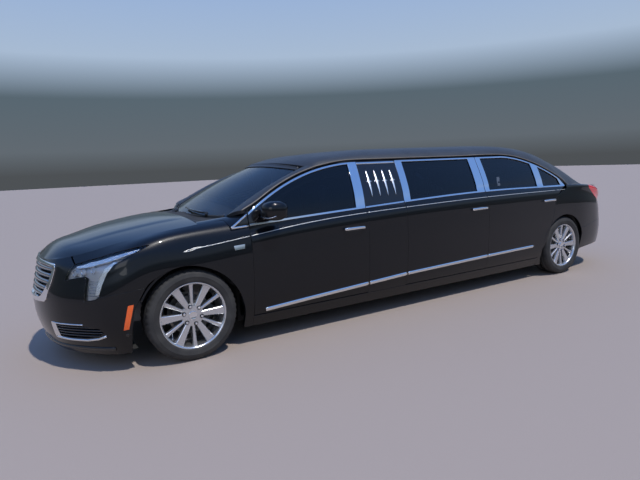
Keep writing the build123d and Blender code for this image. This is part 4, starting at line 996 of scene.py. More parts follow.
def make_nose():
    grille = FRONT.across(FRONT.find(front_targets(GRILLE_OUTLINE)))
    grille_hole = FRONT.across(FRONT.find(front_targets(GRILLE_HOLE)))
    fog = FRONT.find(front_targets(FOG_HOLE))
    low_edge = FRONT.find(front_targets(LAMP_LOW))
    rear_edge = FRONT.find(side_targets(FENDER_EDGE))
    top_edge = FRONT.find(side_targets(LAMP_TOP))
    seam = FRONT.find(side_targets([(-0.353, 0.621), (-0.45, 0.613), (-0.56, 0.598), (-0.628, 0.584)]))
    arch = FRONT.find(side_targets(front_arch(ARCH_SEAM + 0.06, len(FRONT_ARCH) - 1, 30)))
    below = row_at(np.linspace(arch[-1][0] + 0.01, FRONT.s[-1] / 2, 24), 0.002)
    corner = FRONT.find(side_targets([(-0.745, 0.800)]))
    top = top_run(FRONT, FRONT.s[-1] / 2, corner[0][0] + 0.006)
    outline = FRONT.across(np.concatenate([top, corner, low_edge[::-1], seam[::-1], arch, below]))
    holes = [shrunk(grille, 0.004), fog, FRONT.mirrored(fog)]
    panel("bumper_skin", FRONT, outline, "paint", "body", ("front_bumper",), mirror=False, holes=holes, depth=0.025)
    frame_shape = {"holes": [grille_hole], "lift": 0.009, "depth": 0.03, "edge": 0.004, "step": 0.02}
    panel("grille_frame", FRONT, grille, "chrome", "body", ("grille",), mirror=False, **frame_shape)
    backing = {"mirror": False, "lift": -0.050, "depth": 0.002, "step": 0.04}
    panel("grille_backing", FRONT, shrunk(grille, 0.012), "matt_black", "body", **backing)
    make_grille_bars()
    make_lamp(shrunk(np.concatenate([rear_edge, low_edge, top_edge[:0:-1]]), 0.003))
    make_fog(fog)


GRILLE_BARS = ((0.757, 0.420), (0.709, 0.414), (0.661, 0.398), (0.613, 0.364), (0.567, 0.318))
GRILLE_BAR_SECTION = (
    (-0.016, -0.03), (-0.018, -0.012), (-0.013, 0.002), (0.0, 0.006), (0.013, 0.002), (0.018, -0.012), (0.016, -0.03),
)


def make_grille_bars():
    for index, (z, half) in enumerate(GRILLE_BARS):
        places, normals = FRONT.lifted(FRONT.find([(ANY, y, z) for y in np.linspace(0, half, 12)]))
        places = np.concatenate([places[::-1], flip(places)[1:]])
        normals = np.concatenate([normals[::-1], flip(normals)[1:]])
        normals = unit(normals * np.array((1, 1, 0.25)))
        points, faces = swept(places - normals * 0.006, normals, GRILLE_BAR_SECTION)
        make(f"grille_bar_{index}", points, faces, "dark_chrome", "body")


LAMP_BLADES = (
    # name, outline from the side: back, z
    ("blade", [(b, z - 0.012) for b, z in LAMP_TOP[1:]] + [
        (-0.735, 0.780), (-0.690, 0.785), (-0.600, 0.812), (-0.470, 0.858), (-0.385, 0.882),
    ]),
    ("stripe", [
        (-0.480, 0.822), (-0.530, 0.785), (-0.572, 0.715), (-0.612, 0.640), (-0.630, 0.600), (-0.652, 0.598),
        (-0.640, 0.650), (-0.612, 0.722), (-0.575, 0.785), (-0.520, 0.826),
    ]),
)
LAMP_SPOTS = (
    # half width, height, radius
    (0.606, 0.738, 0.026), (0.662, 0.752, 0.028), (0.722, 0.766, 0.028),
)


def make_lamp(lamp):
    panel("headlamp_lens_left", FRONT, lamp, "lens", "body", ("headlamps",), depth=0.012, edge=0.002, step=0.02)
    bowl = shrunk(lamp, 0.004)
    panel("headlamp_bowl_left", FRONT, bowl, "lamp_body", "body", lift=-0.040, depth=-0.030, step=0.02)
    blade_shape = {"lift": -0.010, "depth": 0.02, "edge": 0.003, "step": 0.02}
    for name, outline in LAMP_BLADES:
        panel(f"headlamp_{name}_left", FRONT, FRONT.find(side_targets(outline)), "polished", "body", **blade_shape)
    for index, (y, z, radius) in enumerate(LAMP_SPOTS):
        places, normals = FRONT.lifted(FRONT.find([(ANY, y, z)]))
        normal = unit(normals[0] * np.array((1, 0.4, 0.3)))
        centre = places[0] - normal * 0.045
        lathe_both(f"headlamp_reflector_{index}_left", centre, normal, bowl_profile(radius), "reflector")
        dome = dome_profile(radius * 0.32)
        lathe_both(f"headlamp_bulb_{index}_left", centre - normal * 0.012, normal, dome, "lens")
    for index in range(6):
        z = 0.590 + index * 0.020
        targets = [(ANY, y, z) for y in np.linspace(0.722, 0.780 + 0.004 * index, 6)]
        path, normals = on_net(FRONT, targets, lift=-0.030)
        points, faces = swept(path, normals, half_round(0.006, 0.006))
        both(f"headlamp_rib_{index}_left", points, faces, "reflector", "body")


BOWL = ((1, 0.018), (0.93, 0.020), (0.86, 0.012), (0.6, -0.010), (0.25, -0.022), (0.0, -0.024))


def bowl_profile(radius):
    return [(radius * share, along) for share, along in BOWL]


def dome_profile(radius):
    return [(radius * math.cos(a), radius * math.sin(a)) for a in np.linspace(0, math.pi / 2, 7)]


def lathe(centre, axis, profile, sides=32):
    """A surface of revolution: the profile is (radius, along the axis) points."""
    axis = unit(np.array(axis, float))
    helper = np.array((0, 0, 1.0)) if abs(axis[2]) < 0.9 else np.array((1.0, 0, 0))
    u = unit(np.cross(axis, helper))
    w = np.cross(axis, u)
    turns = [2 * math.pi * k / sides for k in range(sides)]
    rings = [
        [centre + axis * along + (u * math.cos(a) + w * math.sin(a)) * radius for a in turns] for radius, along in profile
    ]
    return ringed(rings)


def lathe_both(name, centre, axis, profile, material, sides=32):
    points, faces = lathe(centre, axis, profile, sides)
    both(name, points, faces, material, "body")


def ringed(rings, closed=True):
    """Faces that join equal rings of points."""
    count = len(rings[0])
    points = [point for ring in rings for point in ring]
    faces = []
    for i in range(len(rings) - 1):
        for k in range(count if closed else count - 1):
            m = (k + 1) % count
            faces.append((i * count + k, i * count + m, (i + 1) * count + m, (i + 1) * count + k))
    return points, faces


FOG_SLAT_ENDS = (0.772, 0.792, 0.795, 0.784)
FOG_POST = [(0.418, 0.372), (0.462, 0.374), (0.462, 0.252), (0.400, 0.250)]
NOSE_STRIPS = (
    # name, path (half width, height), width, height, material
    ("fog_chrome_top", [(0.455, 0.370), (0.570, 0.374), (0.691, 0.378)], 0.010, 0.006, "chrome"),
    ("fog_chrome_low", [(0.415, 0.254), (0.560, 0.251), (0.680, 0.256), (0.755, 0.272), (0.805, 0.296)], 0.018, 0.009, "chrome"),
    ("lower_lip", [(y, 0.178 + 0.012 * (y / 0.8) ** 2) for y in np.linspace(0.0, 0.80, 20)], 0.030, 0.010, "gloss_black"),
)


def make_fog(fog):
    backing = shrunk(fog, 0.002)
    panel("fog_backing_left", FRONT, backing, "matt_black", "body", lift=-0.030, depth=-0.03, step=0.04)
    for index, last in enumerate(FOG_SLAT_ENDS):
        z = 0.280 + index * 0.022
        targets = [(ANY, y, z + 0.010 * (y - 0.46) / 0.3) for y in np.linspace(0.466, last, 10)]
        path, normals = on_net(FRONT, targets, 0.03, -0.012)
        points, faces = swept(path, normals, half_round(0.013, 0.010, foot=0.012))
        both(f"fog_slat_{index}_left", points, faces, "gloss_black", "body")
    post = FRONT.find(front_targets(FOG_POST))
    panel("fog_chrome_post_left", FRONT, post, "chrome", "body", lift=0.004, depth=0.012, step=0.02)
    for name, path, width, height, material in NOSE_STRIPS:
        strip(f"{name}_left", FRONT, front_targets(path), width, height, material, "body", lift=0.001)


make_nose()


# Rear of the body: one net from ahead of the rear wheel round to the middle of the tail

REAR_COLUMNS = (
    # behind the front axle and half width at the bumper's height, top edge point, share of tail
    (4.05, 0.926, 4.05, 0.868, 1.086, 0.0),
    (4.40, 0.926, 4.40, 0.866, 1.082, 0.0),
    (4.70, 0.926, 4.70, 0.850, 1.070, 0.0),
    (5.00, 0.926, 5.00, 0.808, 1.062, 0.05),
    (5.20, 0.908, 5.20, 0.756, 1.040, 0.15),
    (5.40, 0.868, 5.38, 0.700, 1.018, 0.4),
    (5.55, 0.803, 5.53, 0.660, 1.000, 0.7),
    (5.66, 0.728, 5.66, 0.650, 0.988, 0.9),
    (5.735, 0.658, 5.745, 0.645, 0.976, 1.0),
    (5.785, 0.570, 5.795, 0.565, 0.966, 1.0),
    (5.825, 0.440, 5.822, 0.438, 0.962, 1.0),
    (5.852, 0.220, 5.838, 0.220, 0.960, 1.0),
    (5.862, 0.000, 5.843, 0.000, 0.959, 1.0),
)
TAIL_HEIGHTS = (0.20, 0.27, 0.35, 0.43, 0.52, 0.60, 0.70, 0.80, 0.90)
TAIL_INSETS = (0.060, 0.032, 0.012, 0.002, 0.0, 0.010, 0.024, 0.030, 0.036)


def rear_net():
    normals = plan_normals([(-row[0], row[1]) for row in REAR_COLUMNS])
    columns = []
    for (back, half, edge_back, edge_y, edge_z, share), out in zip(REAR_COLUMNS, normals):
        heights = follow_crease(blend_rows(SIDE_HEIGHTS, TAIL_HEIGHTS, share), min(back, CREASE[-1][0]), share)
        insets = blend_rows(SIDE_INSETS, TAIL_INSETS, share)
        swell = 0.010 * (1 - share) + 0.006 * share
        columns.append(wrap_column((-back, half), out, heights, insets, (-edge_back, edge_y, edge_z), 0.5, swell))
    return columns


REAR = Net(rear_net(), whole=True)

QUARTER_SEAM = [(4.985, 0.545), (5.10, 0.560), (5.25, 0.585), (5.40, 0.600), (5.55, 0.612)]
TAIL_LAMP = [
    # from the top front corner down the leading edge, along the bottom: back, z
    (5.130, 1.020), (5.190, 0.985), (5.250, 0.945), (5.320, 0.900), (5.420, 0.850), (5.550, 0.805), (5.655, 0.778),
]
LID_LOW_Z, LID_Y, LAMP_Y = 0.628, 0.640, 0.652
BUMPER_LOW = [
    # the rear bumper's lower edge from the middle to the wheel's opening
    (ANY, 0.0, 0.262), (ANY, 0.25, 0.262), (ANY, 0.50, 0.266), (ANY, 0.66, 0.276), (5.60, ANY, 0.286),
    (5.45, ANY, 0.291), (5.30, ANY, 0.290), (5.15, ANY, 0.282), (5.03, ANY, 0.272),
]
PLATE = [(ANY, 0, 0.690), (ANY, 0.27, 0.690), (ANY, 0.29, 0.80), (ANY, 0.27, 0.815), (ANY, 0, 0.818)]
REAR_ARCH, REAR_ARCH_AHEAD, BUMPER_ARCH = 0.383, 0.034, 0.384


def around_rear_wheel(radius, degrees):
    angle = math.radians(degrees)
    return REAR_BACK + radius * math.cos(angle), WHEEL_Z + radius * math.sin(angle)


def rear_arch(start, end, count=40):
    """The rear wheel's opening: a little longer ahead of the wheel than behind it."""
    out = []
    for degrees in [start + (end - start) * i / count for i in range(count + 1)]:
        radius = REAR_ARCH + REAR_ARCH_AHEAD * min(1, max(0, (degrees - 100) / 100)) ** 1.5
        out.append(around_rear_wheel(radius, degrees))
    return out


def make_tail():
    quarter_edge = arc_through(APERTURE["waist"], APERTURE["arch_mid"], APERTURE["arch_low"], 16)
    edge = [(4.662, 1.066), (4.662, 1.045)] + [tuple(p) for p in quarter_edge]
    low_front = [(4.150, 0.250), (4.150, 0.160), (4.185, 0.158)]
    lamp_front = REAR.find(side_targets(TAIL_LAMP))
    lamp_low = REAR.find([(5.70, ANY, 0.765), (ANY, LAMP_Y, 0.738)])
    lamp_side = REAR.find([(ANY, 0.650, z) for z in (0.80, 0.87, 0.93)])
    outline = np.concatenate([
        REAR.find(side_targets(edge + low_front + rear_arch(214, -27) + QUARTER_SEAM)),
        REAR.find([(ANY, LAMP_Y, 0.615)]), lamp_low[::-1], lamp_front[::-1],
    ])
    outline = np.concatenate([outline, top_run(REAR, lamp_front[0][0], outline[0][0])])
    panel("quarter_skin_left", REAR, outline, "paint", "body", ("body_side_left",), depth=0.03)
    lamp_top = top_run(REAR, lamp_side[-1][0], lamp_front[0][0], 0.006)
    lamp = shrunk(np.concatenate([lamp_front, lamp_low, lamp_side, lamp_top]), 0.003)
    panel("tail_lamp_left", REAR, lamp, "red", "body", ("tail_lamps",), depth=0.03, step=0.02)
    reverse = REAR.find([(ANY, 0.662, 0.765), (ANY, 0.70, 0.775), (ANY, 0.70, 0.90), (ANY, 0.662, 0.90)])
    panel("reverse_lamp_left", REAR, reverse, "lens", "body", lift=0.002, depth=0.004, step=0.02)

    bumper_front = [around_rear_wheel(BUMPER_ARCH, 30 - 43 * i / 10) for i in range(11)]
    bumper_side = side_targets(bumper_front[::-1] + [(b, z - 0.006) for b, z in QUARTER_SEAM])
    bumper_top = [(ANY, LAMP_Y, 0.609), (ANY, 0.55, 0.617), (ANY, 0.3, 0.617), (ANY, 0, 0.617)]
    bumper = REAR.across(REAR.find(BUMPER_LOW + bumper_side + bumper_top))
    panel("rear_bumper_skin", REAR, bumper, "paint", "body", ("rear_bumper",), mirror=False, depth=0.025)

    lid = REAR.find([(ANY, y, LID_LOW_Z) for y in (0, 0.2, 0.4, 0.55, LID_Y)] + [(ANY, LID_Y, z) for z in (0.75, 0.86, 0.94)])
    lid = REAR.across(np.concatenate([lid, top_run(REAR, lid[-1][0], REAR.s[-1] / 2, 0.001)]))
    panel("lid_face", REAR, lid, "paint", "trunk_lid", ("trunk_lid",), mirror=False, depth=0.02)
    plate_shape = {"mirror": False, "lift": 0.001, "depth": 0.004, "step": 0.04}
    panel("plate_recess", REAR, REAR.across(REAR.find(PLATE)), "matt_black", "trunk_lid", **plate_shape)
    bright = (
        # name, half widths, height, width and thickness of the strip, body, lift
        ("lid_bright_bar", np.linspace(0, 0.62, 16), 0.845, 0.022, 0.010, "trunk_lid", 0.0),
        ("rear_bumper_chrome", np.linspace(0.25, 0.66, 12), 0.40, 0.014, 0.006, "body", 0.0),
        ("tailpipe_finisher", (0.42, 0.50, 0.58), 0.275, 0.05, 0.016, "body", -0.004),
    )
    for name, halves, z, width, thick, body, lift in bright:
        strip(name, REAR, [(ANY, y, z) for y in halves], width, thick, "chrome", body, lift=lift)


LID_ROWS = (
    # back, height at the edge and in the middle
    (5.562, 1.000, 1.020), (5.64, 0.990, 1.008), (5.70, 0.982, 0.998), (5.76, 0.973, 0.984), (5.80, 0.966, 0.973),
    (5.835, 0.958, 0.961),
)
LID_HALF, LID_BEND = 0.643, 5.70


def lid_columns():
    """The boot lid's top, which bends forward at its rear corners."""
    columns = []
    for back, edge_z, middle_z in LID_ROWS:
        rows = []
        for y in (LID_HALF, 0.55, 0.40, 0.20, 0.0, -0.20, -0.40, -0.55, -LID_HALF):
            share = abs(y) / LID_HALF
            corner = max(0, (back - LID_BEND) / 0.135)
            rows.append((back - 0.075 * corner * share**2.2, y, middle_z + (edge_z - middle_z) * share**2))
        columns.append(rows)
    return columns


LID = Net(lid_columns())

make_tail()
panel("lid_top", LID, whole_net_loop(LID, 0.002), "paint", "trunk_lid", mirror=False, depth=0.014, step=0.04)


# Left side between the doors, and below them

FILLER_FRONT, FILLER_REAR = 1.650 + SHUT / 2, 2.110 - SHUT / 2
SILL = [(0.500, 0.246), (1.5, 0.246), (2.6, 0.246), (3.6, 0.246), (4.142, 0.246)]
SILL += [(4.142, 0.160), (3.6, 0.158), (2.6, 0.158), (1.5, 0.158), (0.500, 0.160)]


def make_side():
    panel("rocker_left", SIDE, side_loop(SILL), "paint", "body", depth=0.012)
    front, rear = FILLER_FRONT, FILLER_REAR
    belt = belt_at((front + rear) / 2)
    low = [(front, 0.252), (front, belt - 0.030), (rear, belt - 0.030), (rear, 0.252)]
    panel("filler_low_left", SIDE, side_loop(low), "paint", "body", depth=0.016)
    over = lowered(TOP_LINE, SHUT)
    upper = top_between(over, front, rear)
    high = [(front, belt - 0.024)] + upper + [(rear, belt - 0.024)]
    panel("filler_high_left", SIDE, side_loop(high), "gloss_black", "body", depth=0.016)
    for index in range(4):
        spear(index, front + 0.0985 + index * 0.0935, belt)


def leaf(name, targets, halves, thick):
    """A rounded leaf that stands on the side: wide as `halves` says along its path."""
    places, normals = SIDE.lifted(SIDE.find(targets))
    profile = [(math.cos(a), thick * math.sin(a)) for a in np.linspace(0, 2 * math.pi, 12, endpoint=False)]
    points, faces = swept(places + normals * 0.005, normals, profile, scale=halves)
    both(name, points, faces, "polished", "body")


FLARE = 0.031


def spear(index, centre, belt):
    """One bright needle with a small cross flare, standing on the filler panel."""
    low, high, wide = belt + 0.072, 1.368, 1.268
    heights = np.linspace(low, high, 25)
    shares = (heights - low) / (high - low)
    halves = 0.0012 + 0.0112 * np.sin(math.pi * shares ** 1.25) ** 0.9
    lean = [centre + 0.66 * (cut_back(centre, z) - centre) for z in heights]
    leaf(f"spear_{index}_left", [(b, ANY, z) for b, z in zip(lean, heights)], halves, 0.45)
    middle = centre + 0.66 * (cut_back(centre, wide) - centre)
    across = np.linspace(-FLARE, FLARE, 13)
    flare = 0.0012 + 0.014 * (1 - np.abs(across) / FLARE) ** 1.3
    targets = [(middle + step, ANY, wide - 0.02 * abs(step)) for step in across]
    leaf(f"spear_flare_{index}_left", targets, flare, 0.5)


make_side()


def make_inner_ring():
    """The pillars and sills inside the doors, with a way in at each door."""
    top = [tuple(p) for p in lowered(TOP_LINE, 0.012)[1::3]]
    outline = [(0.53, 0.20), (0.53, 1.06)] + top + [(4.62, 1.06), (4.32, 0.80), (4.22, 0.70), (4.12, 0.20)]
    over = lowered(TOP_LINE, 0.070)
    holes = []
    for name, front, rear, _, _ in DOORS:
        front, rear = front + 0.11, rear - 0.065
        if name == "rear":
            shape = [(front, 0.30), (front, 1.1)] + top_between(over, front, 4.40)
            shape += [(4.33, 1.10), (4.20, 0.80), (4.05, 0.60), (3.98, 0.30)]
        else:
            shape = [(front, 0.30)] + top_between(over, front, rear) + [(rear, 1.10), (rear, 0.30)]
        holes.append(side_loop(shape))
    ring = {"holes": holes, "lift": -0.122, "depth": 0.030, "step": 0.05}
    panel("door_ring_left", SIDE, side_loop(outline), "carpet", "body", **ring)


make_inner_ring()

# Roof: padded cover, pillars, front and rear screens

PROFILE = (
    # the roof's middle line: back, z
    (0.195, 1.050), (0.40, 1.172), (0.60, 1.282), (0.80, 1.378), (1.025, 1.472), (1.25, 1.515), (1.48, 1.542),
    (1.75, 1.563), (2.05, 1.576), (2.50, 1.583), (3.20, 1.587), (3.90, 1.583), (4.20, 1.565), (4.44, 1.535),
    (4.66, 1.490), (4.90, 1.402), (5.24, 1.205), (5.555, 1.016),
)
ROOF_ROWS = (
    # shares of the half width and of the rise, on the flat part of the roof and on its rear
    (1.0, 0.0, 1.0, 0.0), (0.985, 0.12, 0.948, 0.125), (0.955, 0.30, 0.885, 0.29), (0.89, 0.52, 0.80, 0.485),
    (0.78, 0.73, 0.69, 0.675), (0.60, 0.88, 0.545, 0.84), (0.38, 0.96, 0.365, 0.955), (0.18, 0.99, 0.18, 0.99),
    (0.0, 1.0, 0.0, 1.0),
)
ROOF_BACKS = (
    1.30, 1.50, 1.75, 2.05, 2.60, 3.20, 3.70, 3.95, 4.15, 4.35, 4.50, 4.64, 4.76, 4.90, 5.05, 5.22, 5.38, 5.50,
)
HEADER_BACK, HEADER_BEND, HEADER_Z = 1.025, 0.20, 1.472
DOOR_END = 4.640


def over_door(back):
    """The edge of the roof or front pillar over the doors: y, z."""
    fine_line = fine(TOP_LINE, 0.004, closed=False)
    z = fine_line[np.abs(fine_line[:, 0] - back).argmin()][1] + 0.012
    return glass_y(z), z


def roof_edge(back):
    """Where the roof cover ends at the side: y, z."""
    if back <= DOOR_END:
        return over_door(back)
    y, z = track([row[2:5] for row in REAR_COLUMNS[:8]], back)[0]
    return y - 0.002, z + 0.002


def roof_net():
    """Rows from the left edge over the middle to the right, from the windscreen to the rear deck."""
    edge_y, edge_z = roof_edge(HEADER_BACK + HEADER_BEND)
    columns = [[
        (HEADER_BACK + HEADER_BEND * y**2, edge_y * y, edge_z + (HEADER_Z - edge_z) * (1 - y**2.6))
        for y, _, _, _ in ROOF_ROWS
    ]]
    for back in ROOF_BACKS:
        edge_y, edge_z = roof_edge(back)
        top = value_at(PROFILE, back)
        share = min(max(((top - edge_z) - 0.13) / 0.2, 0), 1) if back < 4.66 else 1.0
        columns.append([
            (back, edge_y * (y + (rear_y - y) * share), edge_z + (top - edge_z) * (z + (rear_z - z) * share))
            for y, z, rear_y, rear_z in ROOF_ROWS
        ])
    return [rows + [(b, -y, z) for b, y, z in reversed(rows[:-1])] for rows in columns]


ROOF = Net(roof_net())
BACKLIGHT = [
    # half outline of the rear screen: back, y, z from the top middle
    (4.925, 0.0, ANY), (4.935, 0.30, ANY), (4.965, 0.49, ANY), (5.00, 0.525, ANY), (5.20, 0.565, ANY),
    (5.44, 0.605, ANY), (5.47, 0.58, ANY), (5.485, 0.30, ANY), (5.49, 0.0, ANY),
]
BEAD = 0.0052


def find_both(net, targets):
    """Outline points and their mirror image on a net whose rows run from side to side."""
    left = net.find(targets)
    right = left[1:-1][::-1].copy()
    right[:, 1] = net.v[-1] - right[:, 1]
    left[0, 1] = left[-1, 1] = net.v[-1] / 2
    return np.concatenate([left, right])


def make_roof():
    backlight = find_both(ROOF, BACKLIGHT)
    cover = {"holes": [backlight], "depth": 0.02, "edge": 0.006, "lift": 0.006, "step": 0.04}
    panel("roof_cover", ROOF, whole_net_loop(ROOF, 0.003, 60), "vinyl", "body", ("roof",), mirror=False, **cover)
    screen = {"mirror": False, "lift": -0.004, "depth": 0.004, "step": 0.05}
    panel("rear_screen", ROOF, shrunk(backlight, 0.004), "screen", "body", ("rear_window",), **screen)
    places, normals = ROOF.lifted(row_at(np.linspace(ROOF.s[0] + 0.01, ROOF.s[-1] - 0.01, 220), 0.004))
    side_out = unit(normals + np.array((0, 0.8, 0)))
    seat = places + normals * 0.006 + np.array((0, 0.002, -0.001))
    points, faces = swept(seat, side_out, circle_profile(BEAD, 8))
    both("roof_bead_left", points, faces, "bead", "body")
    places, normals = ROOF.lifted(fine(backlight, 0.02), 0.006)
    points, faces = swept(places, normals, half_round(0.018, 0.006), closed=True)
    make("rear_screen_trim", points, faces, "chrome", "body")


SCREEN_EDGE = (
    # share of the height, back, y, z at the windscreen's side
    (0.0, 0.372, 0.705, 1.058), (0.25, 0.56, 0.680, 1.165), (0.5, 0.76, 0.648, 1.262), (0.75, 0.98, 0.602, 1.352),
    (1.0, 1.168, 0.560, 1.419),
)
SCREEN_MIDDLE = ((0.0, 0.215, 1.056), (0.25, 0.41, 1.174), (0.5, 0.61, 1.286), (0.75, 0.815, 1.383), (1.0, 1.020, 1.466))


def screen_net():
    columns = []
    for y_share in (1.0, 0.9, 0.75, 0.55, 0.3, 0.0):
        rows = []
        for t in (0.0, 0.25, 0.5, 0.75, 1.0):
            edge = track(SCREEN_EDGE, t)[0]
            middle = track(SCREEN_MIDDLE, t)[0]
            bend = y_share**2.2
            rows.append((
                middle[0] + (edge[0] - middle[0]) * bend, edge[1] * y_share, middle[1] + (edge[2] - middle[1]) * bend
            ))
        columns.append(rows)
    return columns


SCREEN = Net(screen_net(), whole=True)


PILLAR_BACKS = (0.455, 0.60, 0.76, 0.95, 1.12, 1.25)


def pillar_net():
    """The front pillar's cover, from the side opening's edge over to the windscreen."""
    columns = []
    out = unit(np.array((-0.35, 0.75, 0.55)))
    for index, back in enumerate(PILLAR_BACKS):
        start = np.array((back, *over_door(back)))
        end = track(SCREEN_EDGE, index / (len(PILLAR_BACKS) - 1))[0] + np.array((0.006, 0.010, 0.004))
        rows = []
        for share in (0.0, 0.15, 0.4, 0.7, 0.9, 1.0):
            swell = 0.020 * math.sin(math.pi * share) ** 0.8 if 0 < share < 1 else 0
            rows.append(tuple(start + (end - start) * share + out * swell))
        columns.append(rows)
    return columns


PILLAR = Net(pillar_net())


def make_screen():
    glass = {"mirror": False, "lift": -0.004, "depth": 0.004, "edge": 0.001, "step": 0.05}
    panel("windscreen_glass", SCREEN, whole_net_loop(SCREEN, 0.004, 30), "screen", "body", ("windscreen",), **glass)
    pillar = whole_net_loop(PILLAR, 0.002)
    panel("pillar_cover_left", PILLAR, pillar, "vinyl", "body", lift=0.003, depth=0.03, step=0.03)
    places, normals = PILLAR.lifted(row_at(np.linspace(PILLAR.s[0] + 0.002, PILLAR.s[-1], 60), 0.003), 0.003)
    points, faces = swept(places, normals, circle_profile(BEAD, 8))
    both("pillar_bead_left", points, faces, "bead", "body")
    seals = (
        # name, place up the screen, shift, width, height, material
        ("header", SCREEN.v[-1] - 0.004, (-0.004, 0, 0.002), 0.030, 0.008, "vinyl"),
        ("base", 0.004, (0, 0, 0), 0.024, 0.006, "rubber"),
    )
    for name, v, shift, width, height, material in seals:
        places, normals = SCREEN.lifted(row_at(np.linspace(0.02, SCREEN.s[-1] - 0.02, 80), v))
        points, faces = swept(places + np.array(shift), normals, half_round(width, height))
        make(f"screen_{name}_seal", points, faces, material, "body")
    runs = np.linspace(0.012, SCREEN.s[-1] - 0.012, 60)
    cover = np.concatenate([row_at(runs, SCREEN.v[-1] - 0.050), row_at(runs[::-1], SCREEN.v[-1] - 0.001)])
    cover_shape = {"mirror": False, "lift": 0.004, "depth": 0.007, "step": 0.03}
    panel("screen_header_cover", SCREEN, cover, "vinyl", "body", **cover_shape)


make_roof()
make_screen()


def cowl_columns():
    edge, middle = track(SCREEN_EDGE, 0.0)[0], track(SCREEN_MIDDLE, 0.0)[0]
    sag = np.array((0, 0, -0.016))
    columns = []
    for y_share in (1.0, 0.8, 0.5, 0.25, 0.0):
        y = 0.705 * y_share
        bend = y_share**2.2
        start = np.array((0.133, y, 1.066 - 0.026 * y_share**2 - 0.004))
        end = np.array((middle[0] + (edge[0] - middle[0]) * bend, y, middle[1] + (edge[2] - middle[1]) * bend - 0.006))
        between = [tuple(start + (end - start) * share + sag) for share in (0.33, 0.66)]
        columns.append([tuple(start), *between, tuple(end)])
    return columns


COWL = Net(cowl_columns(), whole=True)
panel("cowl", COWL, whole_net_loop(COWL, 0.002, 30), "matt_black", "body", mirror=False, depth=0.01, step=0.03)

SCREEN_CORNER = [(0.350, 0.982), (0.394, 1.010), (0.440, 1.042)]
FOOT_INNER = (
    (0.330, 0.770, 1.042), (0.360, 0.735, 1.055), (0.385, 0.715, 1.064), (0.420, 0.770, 1.085), (0.455, 0.835, 1.102),
)
COWL_END_LOW = ((0.120, 0.774, 1.022), (0.250, 0.768, 1.034), (0.360, 0.768, 1.044))
COWL_END_HIGH = ((0.130, 0.700, 1.037), (0.250, 0.700, 1.046), (0.372, 0.705, 1.058))


def make_pillar_foot():
    """Paint between the fender's top, the windscreen's lower corner and the front pillar's foot."""
    edge = side_loop(SCREEN_CORNER + [(0.494, 1.078), (0.530, 1.100)])
    outer = SIDE.lifted(edge, -0.002)[0]
    outer[:, 0] = FRONT_AXLE - outer[:, 0]
    patches = (
        # name, one edge, other edge, crown
        ("pillar_foot_left", outer, FOOT_INNER, (-0.004, 0.003, 0.006)),
        ("cowl_end_left", COWL_END_LOW, COWL_END_HIGH, (0, 0, 0.003)),
    )
    for name, low, high, crown in patches:
        columns = [[tuple(a), tuple((np.array(a) + np.array(b)) / 2 + np.array(crown)), tuple(b)] for a, b in zip(low, high)]
        net = Net(columns)
        panel(name, net, whole_net_loop(net, 0.001, 16), "paint", "body", depth=0.012, edge=0.001, step=0.02)


make_pillar_foot()


def make_trays():
    """Flat plates that close the bumpers from below."""
    runs = np.linspace(FRONT.s[0], FRONT.s[-1], 160)
    front = [place for place in FRONT.at(runs, np.full(160, 0.010)) if place[0] - FRONT_AXLE > 0.40]
    rear = fine(REAR.find(BUMPER_LOW[:-1]), 0.05, closed=False)
    half = REAR.at(rear[:, 0], rear[:, 1])
    for name, ring in (("front_tray", front), ("rear_tray", list(half[::-1]) + list(flip(half)[1:]))):
        points = [(x, y * 0.985, z + 0.012) for x, y, z in ring]
        make(name, points, [tuple(range(len(points)))], "under", "body", smooth=False)


make_trays()


def make_wipers():
    """Two wiper arms with blades that lie over the foot of the windscreen."""
    for name, root, tip in (("left", 0.50, 0.02), ("right", -0.12, -0.58)):
        arm, blade = [], []
        for t in np.linspace(0, 1, 9):
            y = root + (tip - root) * t
            v = 0.012 + 0.055 * t
            s = SCREEN.find([(ANY, abs(y), 1.075)])[0][0]
            s = s if y >= 0 else SCREEN.s[-1] - s
            (place, low), (normal, out) = SCREEN.lifted(np.array(((s, v), (s, v + 0.004))))
            arm.append(place + normal * (0.026 - 0.008 * t))
            blade.append(low + out * 0.012)
        bar(f"wiper_arm_{name}", arm, 0.0075, "gloss_black", "body", scale=np.linspace(1.2, 0.7, 9))
        bar(f"wiper_blade_{name}", blade[1:], 0.0065, "matt_black", "body")
        pivot = [arm[0] - np.array((0, 0, 0.030)), arm[0] + np.array((0, 0, 0.006))]
        bar(f"wiper_pivot_{name}", pivot, 0.013, "gloss_black", "body", up=(1, 0, 0))


make_wipers()


BAND = 0.012
BRIGHT = {"lift": 0.004, "depth": 0.010, "edge": 0.002, "step": 0.02}


def frame_outline(name, front, rear):
    """The outer edge of a door's bright frame from the side as (back, z)."""
    over = lowered(TOP_LINE, SHUT + 0.005)
    start, end = front + SHUT / 2 + 0.003, rear - SHUT / 2 - 0.003
    if name == "front":
        start = 0.508
    if name == "rear":
        end = DOOR_END
    upper = top_between(over, start, end if name != "rear" else 4.585)
    upper = [p for p in upper if p[1] > belt_at(p[0]) - 0.01]
    if name == "front":
        upper.insert(0, (start, 1.07))
    if name == "rear":
        upper.append((4.645, 1.090))
    low = [(b, belt_at(b) - BAND) for b in np.linspace(end, start, 24)[1:-1]]
    return [(start, belt_at(start) - BAND)] + upper + [(end, belt_at(end) - (BAND if name != "rear" else 0.010))] + low


